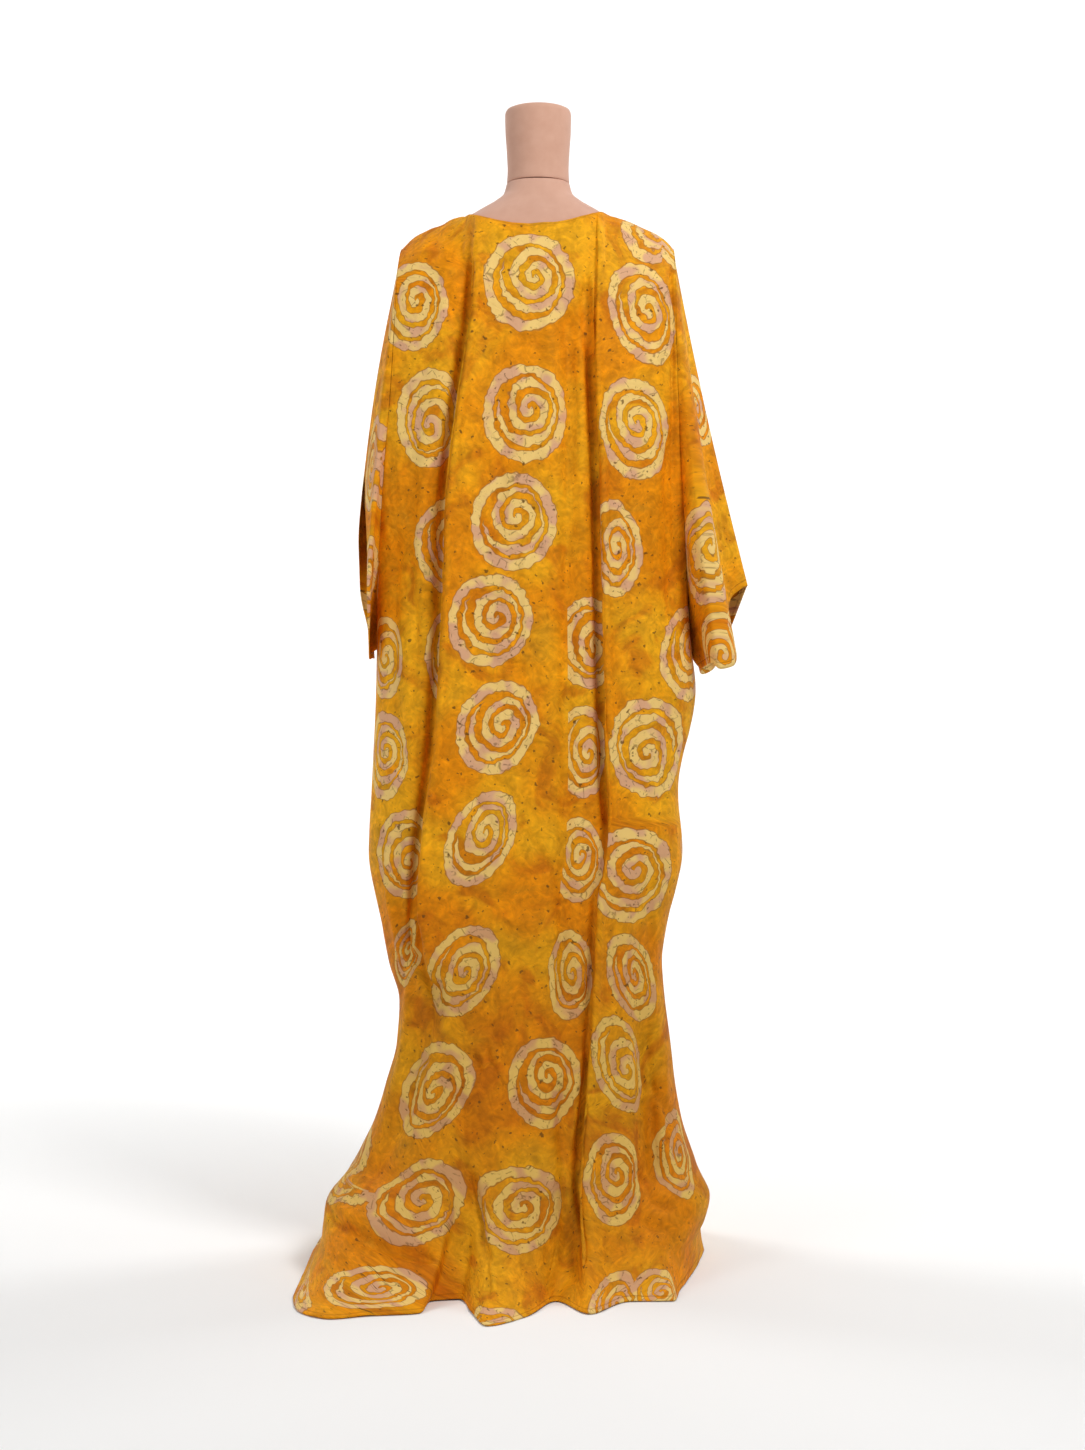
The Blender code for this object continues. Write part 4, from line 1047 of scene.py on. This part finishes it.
def cottonMaterial():
    # plain-woven cotton, dyed yellow to orange over spirals stamped in wax, which cracked in the dye: a
    # matte cloth, bright where the wax kept the dye off. Its threads are too fine to show here
    material, tree, shader = newMaterial("wax-resist cotton")
    flat = addNode(tree, "ShaderNodeUVMap", {}, uv_map="cloth")["UV"]
    motif = addNode(tree, "ShaderNodeUVMap", {}, uv_map="motif")["UV"]
    seed = addNode(tree, "ShaderNodeUVMap", {}, uv_map="seed")["UV"]
    edge = addNode(tree, "ShaderNodeUVMap", {}, uv_map="edge")["UV"]
    shift = addNode(tree, "ShaderNodeTexNoise", {"Vector": flat, "Detail": 1.0,
                                                 "Scale": perMetre(waxPrint["waverSize"])})["Color"]
    shift = addNode(tree, "ShaderNodeVectorMath", {0: shift, 1: (0.5, 0.5, 0.5)}, operation="SUBTRACT")[0]
    pools = addNode(tree, "ShaderNodeTexNoise", {"Vector": flat, "Detail": 4.0, "Distortion": 1.2,
                                                 "Scale": perMetre(waxPrint["poolSize"])})[0]
    leaves = addNode(tree, "ShaderNodeTexNoise", {"Vector": flat, "Detail": 6.0, "Distortion": 2.4,
                                                  "Scale": perMetre(waxPrint["leafSize"])})[0]
    wax = waxSpiral(tree, flat, motif, seed, shift)
    ground = dyedGround(tree, flat, shift, pools, leaves)

    # under the wax: cream, with mauve stretches that took the first dip
    stretch = addNode(tree, "ShaderNodeTexNoise", {"Vector": flat, "Detail": 1.0,
                                                   "Scale": perMetre(waxPrint["stretchSize"])})[0]
    dipped = addNode(tree, "ShaderNodeMapRange", {0: stretch, 1: 0.46, 2: 0.60},
                     interpolation_type="SMOOTHSTEP")[0]
    pale = addNode(tree, "ShaderNodeMix", {0: dipped, 6: hexColour(waxPrint["cream"]),
                                           7: hexColour(waxPrint["mauve"])}, data_type="RGBA")[2]
    colour = addNode(tree, "ShaderNodeMix", {0: wax, 6: ground, 7: pale}, data_type="RGBA")[2]

    # the dye gathers along the wax's edge
    dyed = addNode(tree, "ShaderNodeMath", {0: 1.0, 1: wax}, operation="SUBTRACT")[0]
    rim = addNode(tree, "ShaderNodeMath", {0: wax, 1: dyed}, operation="MULTIPLY")[0]
    rim = addNode(tree, "ShaderNodeMath", {0: rim, 1: 3.2}, operation="MULTIPLY")[0]
    colour = addNode(tree, "ShaderNodeMix", {0: rim, 6: colour, 7: hexColour(waxPrint["outline"])},
                     data_type="RGBA")[2]

    # the cloth is made darker over the lower skirt, by how far down from the shoulder it lies
    down = addNode(tree, "ShaderNodeSeparateXYZ", {0: flat})[1]
    start, end = waxPrint["darkeningStart"]
    darkeningIn = addNode(tree, "ShaderNodeMapRange", {0: down, 1: start, 2: end},
                     interpolation_type="SMOOTHSTEP")[0]
    start, end = waxPrint["darkeningEnd"]
    darkeningOut = addNode(tree, "ShaderNodeMapRange", {0: down, 1: start, 2: end},
                      interpolation_type="SMOOTHSTEP")[0]
    darkened = addNode(tree, "ShaderNodeMath", {0: darkeningIn, 1: darkeningOut}, operation="MULTIPLY")[0]
    colour = addNode(tree, "ShaderNodeMix", {0: darkened, 6: colour, 7: hexColour(waxPrint["skirtDarkening"])},
                     data_type="RGBA", blend_type="MULTIPLY")[2]

    # cracks of the wax, and a few specks of dye
    bent = addNode(tree, "ShaderNodeVectorMath", {0: shift, 3: 0.016}, operation="SCALE")[0]
    crackPlace = addNode(tree, "ShaderNodeVectorMath", {0: flat, 1: bent}, operation="ADD")[0]
    cells = addNode(tree, "ShaderNodeTexVoronoi", {"Vector": crackPlace,
                                                   "Scale": perMetre(waxPrint["crackSize"])},
                    feature="DISTANCE_TO_EDGE")[0]
    cracks = addNode(tree, "ShaderNodeMapRange", {0: cells, 1: 0.060, 2: 0.018, 4: waxPrint["cracked"]},
                     interpolation_type="SMOOTHSTEP")[0]
    patches = addNode(tree, "ShaderNodeMapRange", {0: leaves, 1: 0.47, 2: 0.60},
                      interpolation_type="SMOOTHSTEP")[0]
    cracks = addNode(tree, "ShaderNodeMath", {0: cracks, 1: patches}, operation="MULTIPLY")[0]
    cracks = addNode(tree, "ShaderNodeMath", {0: cracks, 1: wax}, operation="MULTIPLY")[0]
    colour = addNode(tree, "ShaderNodeMix", {0: cracks, 6: colour, 7: hexColour(waxPrint["crackle"])},
                     data_type="RGBA")[2]
    specks = addNode(tree, "ShaderNodeTexNoise", {"Vector": flat, "Detail": 2.0,
                                                  "Scale": perMetre(waxPrint["speckSize"])})[0]
    specks = addNode(tree, "ShaderNodeMapRange", {0: specks, 1: 0.650, 2: 0.71, 4: waxPrint["specked"]},
                     interpolation_type="SMOOTHSTEP")[0]
    colour = addNode(tree, "ShaderNodeMix", {0: specks, 6: colour, 7: hexColour(waxPrint["crackle"])},
                     data_type="RGBA")[2]

    # a narrow hem, stitched close to the edge
    fromStitch = addNode(tree, "ShaderNodeSeparateXYZ", {0: edge})[0]
    fromStitch = addNode(tree, "ShaderNodeMath", {0: fromStitch, 1: waxPrint["hemStitch"]},
                         operation="SUBTRACT")[0]
    fromStitch = addNode(tree, "ShaderNodeMath", {0: fromStitch}, operation="ABSOLUTE")[0]
    stitch = addNode(tree, "ShaderNodeMapRange", {0: fromStitch, 1: 0.0012, 2: 0.0003},
                     interpolation_type="SMOOTHSTEP")[0]
    # painted shade: the outline's brown darkens the sunk stitch line
    shaded = addNode(tree, "ShaderNodeMath", {0: stitch, 1: 0.35}, operation="MULTIPLY")[0]
    colour = addNode(tree, "ShaderNodeMix", {0: shaded, 6: colour, 7: hexColour(waxPrint["outline"])},
                     data_type="RGBA")[2]

    # the crumpled hand of the cloth, with patches of slanted wrinkles
    crumpled = addNode(tree, "ShaderNodeTexNoise", {"Vector": flat, "Detail": 5.0, "Distortion": 1.6,
                                                    "Scale": perMetre(waxPrint["crumpleSize"])})[0]
    across, along = waxPrint["wrinkleSize"]
    slanted = addNode(tree, "ShaderNodeMapping", {"Vector": flat, "Rotation": (0, 0, 0.5),
                                                  "Scale": (perMetre(across), perMetre(along), 1.0)})[0]
    wrinkles = addNode(tree, "ShaderNodeTexNoise", {"Vector": slanted, "Scale": 1.0, "Detail": 2.0,
                                                    "Distortion": 1.0})[0]
    patches = addNode(tree, "ShaderNodeMapRange", {0: pools, 1: 0.62, 2: 0.44, 4: 0.8},
                      interpolation_type="SMOOTHSTEP")[0]
    wrinkles = addNode(tree, "ShaderNodeMath", {0: wrinkles, 1: patches}, operation="MULTIPLY")[0]
    height = addNode(tree, "ShaderNodeMath", {0: crumpled, 1: wrinkles}, operation="ADD")[0]
    sunk = addNode(tree, "ShaderNodeMath", {0: stitch, 1: 0.5}, operation="MULTIPLY")[0]
    height = addNode(tree, "ShaderNodeMath", {0: height, 1: sunk}, operation="SUBTRACT")[0]
    bump = addNode(tree, "ShaderNodeBump", {"Height": height, "Strength": 0.55, "Distance": 0.004})[0]
    tree.links.new(colour, shader.inputs["Base Color"])
    tree.links.new(bump, shader.inputs["Normal"])
    shader.inputs["Roughness"].default_value = waxPrint["roughness"]
    shader.inputs["IOR"].default_value = 1.5
    shader.inputs["Specular IOR Level"].default_value = 0.14
    return material


formCover = {
    "pale": "#D6A891",
    "deep": "#C8977F",
    "mottle": 16.667,       # millimetres
    "knitCourse": 1.2083,   # millimetres, drawn coarser than the real 0.6 so that it shows
}


def jerseyMaterial():
    # knitted cotton jersey stretched over the form, beige with a pink cast: soft, with a faint nap
    material, tree, shader = newMaterial("form jersey")
    place = addNode(tree, "ShaderNodeTexCoord", {})["Object"]
    tone = addNode(tree, "ShaderNodeTexNoise", {"Vector": place, "Detail": 3.0,
                                                "Scale": perMetre(formCover["mottle"])})[0]
    colour = addNode(tree, "ShaderNodeMix", {0: tone, 6: hexColour(formCover["deep"]),
                                              7: hexColour(formCover["pale"])}, data_type="RGBA")[2]
    # the wave texture fits 20 of its bands in a turn, so a metre takes pi / 10 of them
    courses = math.pi / 10 * perMetre(formCover["knitCourse"])
    knit = addNode(tree, "ShaderNodeTexWave", {"Vector": place, "Scale": courses, "Distortion": 1.0},
                   bands_direction="Z")[0]
    bump = addNode(tree, "ShaderNodeBump", {"Height": knit, "Strength": 0.2, "Distance": 0.0004})[0]
    tree.links.new(colour, shader.inputs["Base Color"])
    tree.links.new(bump, shader.inputs["Normal"])
    shader.inputs["Roughness"].default_value = 0.85
    shader.inputs["Sheen Weight"].default_value = 0.2
    return material


def steelMaterial():
    # mild steel with a satin black powder coat: the plastic coat gives the shine, not the metal
    material, tree, shader = newMaterial("black powder-coated steel")
    shader.inputs["Base Color"].default_value = hexColour("#1B1B1D")
    shader.inputs["Roughness"].default_value = 0.42
    shader.inputs["IOR"].default_value = 1.5
    return material


def makeRings(name, rings, material):
    # a closed body through rings of equal length, from the top ring down
    count = len(rings[0])
    points = [point for ring in rings for point in ring]
    faces = [list(range(count))]
    for row in range(len(rings) - 1):
        for i in range(count):
            j = (i + 1) % count
            faces.append([row * count + i, row * count + j, (row + 1) * count + j, (row + 1) * count + i])
    faces.append([(len(rings) - 1) * count + i for i in reversed(range(count))])
    mesh = bpy.data.meshes.new(name)
    mesh.from_pydata(points, [], faces)
    shape = bmesh.new()
    shape.from_mesh(mesh)
    bmesh.ops.recalc_face_normals(shape, faces=shape.faces)
    shape.to_mesh(mesh)
    shape.free()
    mesh.shade_smooth()
    mesh.set_sharp_from_angle(angle=math.radians(55))
    mesh.materials.append(material)
    item = bpy.data.objects.new(name, mesh)
    bpy.context.scene.collection.objects.link(item)
    return item


def formRing(rows, height, roundness):
    ring = []
    halfWidth = float(read(rows, "height", "half_width", height))
    behind, ahead = float(read(rows, "height", "back", height)), float(read(rows, "height", "front", height))
    for i in range(dressForm["segments"]):
        angle = 2 * math.pi * i / dressForm["segments"]
        across = math.copysign(abs(math.cos(angle)) ** (2 / roundness), math.cos(angle))
        along = math.copysign(abs(math.sin(angle)) ** (2 / roundness), math.sin(angle))
        ring.append((halfWidth * across, (ahead if along > 0 else behind) * along, height))
    return ring


def circle(radius, height, count=96):
    return [(radius * math.cos(2 * math.pi * i / count), radius * math.sin(2 * math.pi * i / count), height)
            for i in range(count)]


def makeForm(material):
    # the torso's rings end just under the cap line, and the neck's narrow into it
    seam = dressForm["seam"]
    low = np.linspace(dressForm["foot"], dressForm["bend"], 60)
    high = np.linspace(dressForm["bend"], seam - 0.002, 50)
    heights = sorted(set(np.round(low, 4)) | set(np.round(high, 4)), reverse=True)
    rings = [formRing(dressForm["torso"], float(height), cloth["formRoundness"]) for height in heights]
    neck = dressForm["neck"]
    top = neck[0].height
    rim = [top - down for down in (0.0, 0.0004, 0.0015, 0.0035, 0.006)]
    neckHeights = rim + list(np.linspace(top - 0.008, seam + 0.001, 40)) + [seam]
    neckRings = []
    for height in neckHeights:
        shrink = 1 - dressForm["seamGroove"] * max(0.0, 1 - (height - seam) / 0.0012)
        neckRings.append([(x * shrink, y * shrink, z) for x, y, z in formRing(neck, float(height), 2.0)])
    return (makeRings("torsoCover", rings, material), makeRings("neckCover", neckRings, material))


stand = {
    "poleRadius": 0.0147,
    "poleTop": 0.7895,
    "baseRadius": 0.1497,
    "baseHeight": 0.018,
    # how far the plate's rounded rim lies in from its radius, and how high
    "rim": [(0.0042, 0.0180), (0.0022, 0.0174), (0.0007, 0.0160), (0.0, 0.0140),
            (0.0, 0.0020), (0.0007, 0.0006), (0.0017, 0.0)],
}


def makeStand(material):
    radius = stand["poleRadius"]
    pole = makeRings("pole", [circle(radius, stand["poleTop"]), circle(radius, stand["baseHeight"] + 0.0005)],
                     material)
    base = makeRings("base", [circle(stand["baseRadius"] - inset, height) for inset, height in stand["rim"]],
                     material)
    return pole, base


def makeArea(name, place, target, size, power):
    lamp = bpy.data.lights.new(name, "AREA")
    lamp.shape = "RECTANGLE"
    lamp.size, lamp.size_y = size
    lamp.energy = power
    item = bpy.data.objects.new(name, lamp)
    item.location = place
    item.rotation_euler = (Vector(target) - Vector(place)).to_track_quat("-Z", "Y").to_euler()
    bpy.context.scene.collection.objects.link(item)


def crumple(points):
    # low crumples, in metres: short slanted waves of soft noise, stronger in some places than in others
    lift = np.zeros(points.shape[:2])
    for i in range(points.shape[0]):
        for j in range(points.shape[1]):
            x, y, z = points[i, j]
            slanted = Vector((x * 46 + z * 17, y * 30, z * 24 - x * 12))
            strength = 0.35 + 0.65 * max(0.0, noise.noise(Vector((x * 9 + 5, y * 9, z * 6))) + 0.35)
            lift[i, j] = noise.noise(slanted) * strength
    return cloth["crumple"] * lift


def shapePanel(panel, surface):
    points = panelGrid(panel)
    columns = np.linspace(0, 1, points.shape[1])
    inside = np.clip(np.minimum(columns, 1 - columns) / 0.05, 0, 1)[None, :, None]
    outward = outwardNormals(points) * inside
    points = pressCreases(points, panel["creases"], outward)
    return restOn(points + outward * crumple(points)[:, :, None], surface)


cotton = cottonMaterial()
jersey = jerseyMaterial()
blackSteel = steelMaterial()
print("materials made")

surface = formSurface()
backPoints = shapePanel(back, surface)
frontPoints = shapePanel(front, surface)
print("panels shaped")

backTop = np.abs(backPoints[0, :, 0] - cloth["neckMiddle"]) < cloth["neckHalfWidth"]
frontTop = np.abs(frontPoints[0, :, 0] - cloth["neckMiddle"]) < cloth["neckHalfWidth"]
backFlat = flatCloth(backPoints, 0.0, back["yokeRows"])
frontFlat = flatCloth(frontPoints, cloth["frontStart"], front["yokeRows"])
backMotifs = chartedMotifs(backPoints, backFlat, backSpirals)
frontMotifs = latticeMotifs(cloth["frontStart"])
made = {
    "back_panel": makeCloth("backPanel", backPoints, backFlat, backMotifs,
                            edgeDistances(backPoints, backTop, True),
                            np.linspace(0, 1, backPoints.shape[1]), cotton),
    "front_panel": makeCloth("frontPanel", frontPoints, frontFlat, frontMotifs,
                             edgeDistances(frontPoints, frontTop, True), 0.5, cotton),
}
for name in ("sleeve_left", "sleeve_right"):
    points = restOn(sleeveGrid(name, backPoints, frontPoints), surface)
    hand = sleeves[name]["hand"]
    flat = sleeveField(points, hand, backPoints, frontPoints, backFlat, frontFlat)
    motifs = sleeveMotifs(points, hand, backPoints, frontPoints, backMotifs) + frontMotifs
    motifs += cuffMotifs(points, sleeves[name]["spirals"])
    made[name] = makeCloth(sleeves[name]["title"], points, flat, motifs,
                           edgeDistances(points, None, True), (hand + 1) / 2, cotton)
    print(name, "shaped")

for node, piece in made.items():
    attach(piece, "root")
    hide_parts(node)

torsoCover, neckCover = makeForm(jersey)
pole, base = makeStand(blackSteel)
for piece, node, slotName in (
        (torsoCover, "form_torso", "form_cover"), (neckCover, "form_neck", "form_cover"),
        (pole, "stand_pole", "stand_steel"), (base, "stand_base", "stand_steel")):
    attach(piece, "root")
    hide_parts(node)
print("form and stand made")

Lamp = namedtuple("Lamp", "name place target size power")
studio = {
    "paper": "#F6F6F5",
    # the paper's sweep, from in front of the robe, a hair below the hem, up the wall behind it
    "sweep": [(-9.0, -0.0004), (3.4, -0.0004), (4.0, 0.05), (4.5, 0.22), (4.9, 0.52), (5.18, 0.95),
              (5.3, 1.5), (5.3, 8.0)],
    "halfWidth": 9,
    "air": (0.97, 0.98, 1.0, 1.0),
    "airPower": 0.28,
    "lamps": [
        Lamp("key", (1.25, -1.65, 2.9), (0, 0, 1.0), (0.8, 1.0), 50),
        Lamp("fill", (-2.3, -2.2, 1.6), (0, 0, 0.95), (1.4, 1.8), 22),
        Lamp("backdropLeft", (-2.6, 1.6, 3.6), (-1.2, 4.6, 1.0), (1.8, 1.8), 115),
        Lamp("backdropRight", (2.6, 1.6, 3.6), (1.2, 4.6, 1.0), (1.8, 1.8), 115),
    ],
    "cameraPlace": (0.006, -3.0, 0.723),
    "filmHeight": 36.0,
    "lens": 54.17,
}


def makePaper():
    # a roll of white studio paper, run down from the wall in one sweep
    mesh = bpy.data.meshes.new("floor")
    sweep, half = studio["sweep"], studio["halfWidth"]
    mesh.from_pydata([(x, y, z) for y, z in sweep for x in (-half, half)], [],
                     [(2 * i, 2 * i + 1, 2 * i + 3, 2 * i + 2) for i in range(len(sweep) - 1)])
    mesh.shade_smooth()
    material, tree, shader = newMaterial("white studio paper")
    shader.inputs["Base Color"].default_value = hexColour(studio["paper"])
    shader.inputs["Roughness"].default_value = 0.9
    shader.inputs["Specular IOR Level"].default_value = 0.1
    mesh.materials.append(material)
    item = bpy.data.objects.new("floor", mesh)
    bpy.context.scene.collection.objects.link(item)
    return item


def makeCamera():
    lens = bpy.data.cameras.new("camera")
    lens.sensor_fit = "VERTICAL"
    lens.sensor_height = studio["filmHeight"]
    lens.lens = studio["lens"]
    camera = bpy.data.objects.new("camera", lens)
    camera.location = studio["cameraPlace"]
    camera.rotation_euler = (math.radians(90), 0, 0)
    bpy.context.scene.collection.objects.link(camera)
    return camera


floor = makePaper()
world = bpy.data.worlds.new("studio")
world.use_nodes = True
world.node_tree.nodes["Background"].inputs[0].default_value = studio["air"]
world.node_tree.nodes["Background"].inputs[1].default_value = studio["airPower"]
bpy.context.scene.world = world
for lamp in studio["lamps"]:
    makeArea(*lamp)
bpy.context.scene.camera = makeCamera()
bpy.context.scene.view_settings.view_transform = "Standard"
print("stage set")
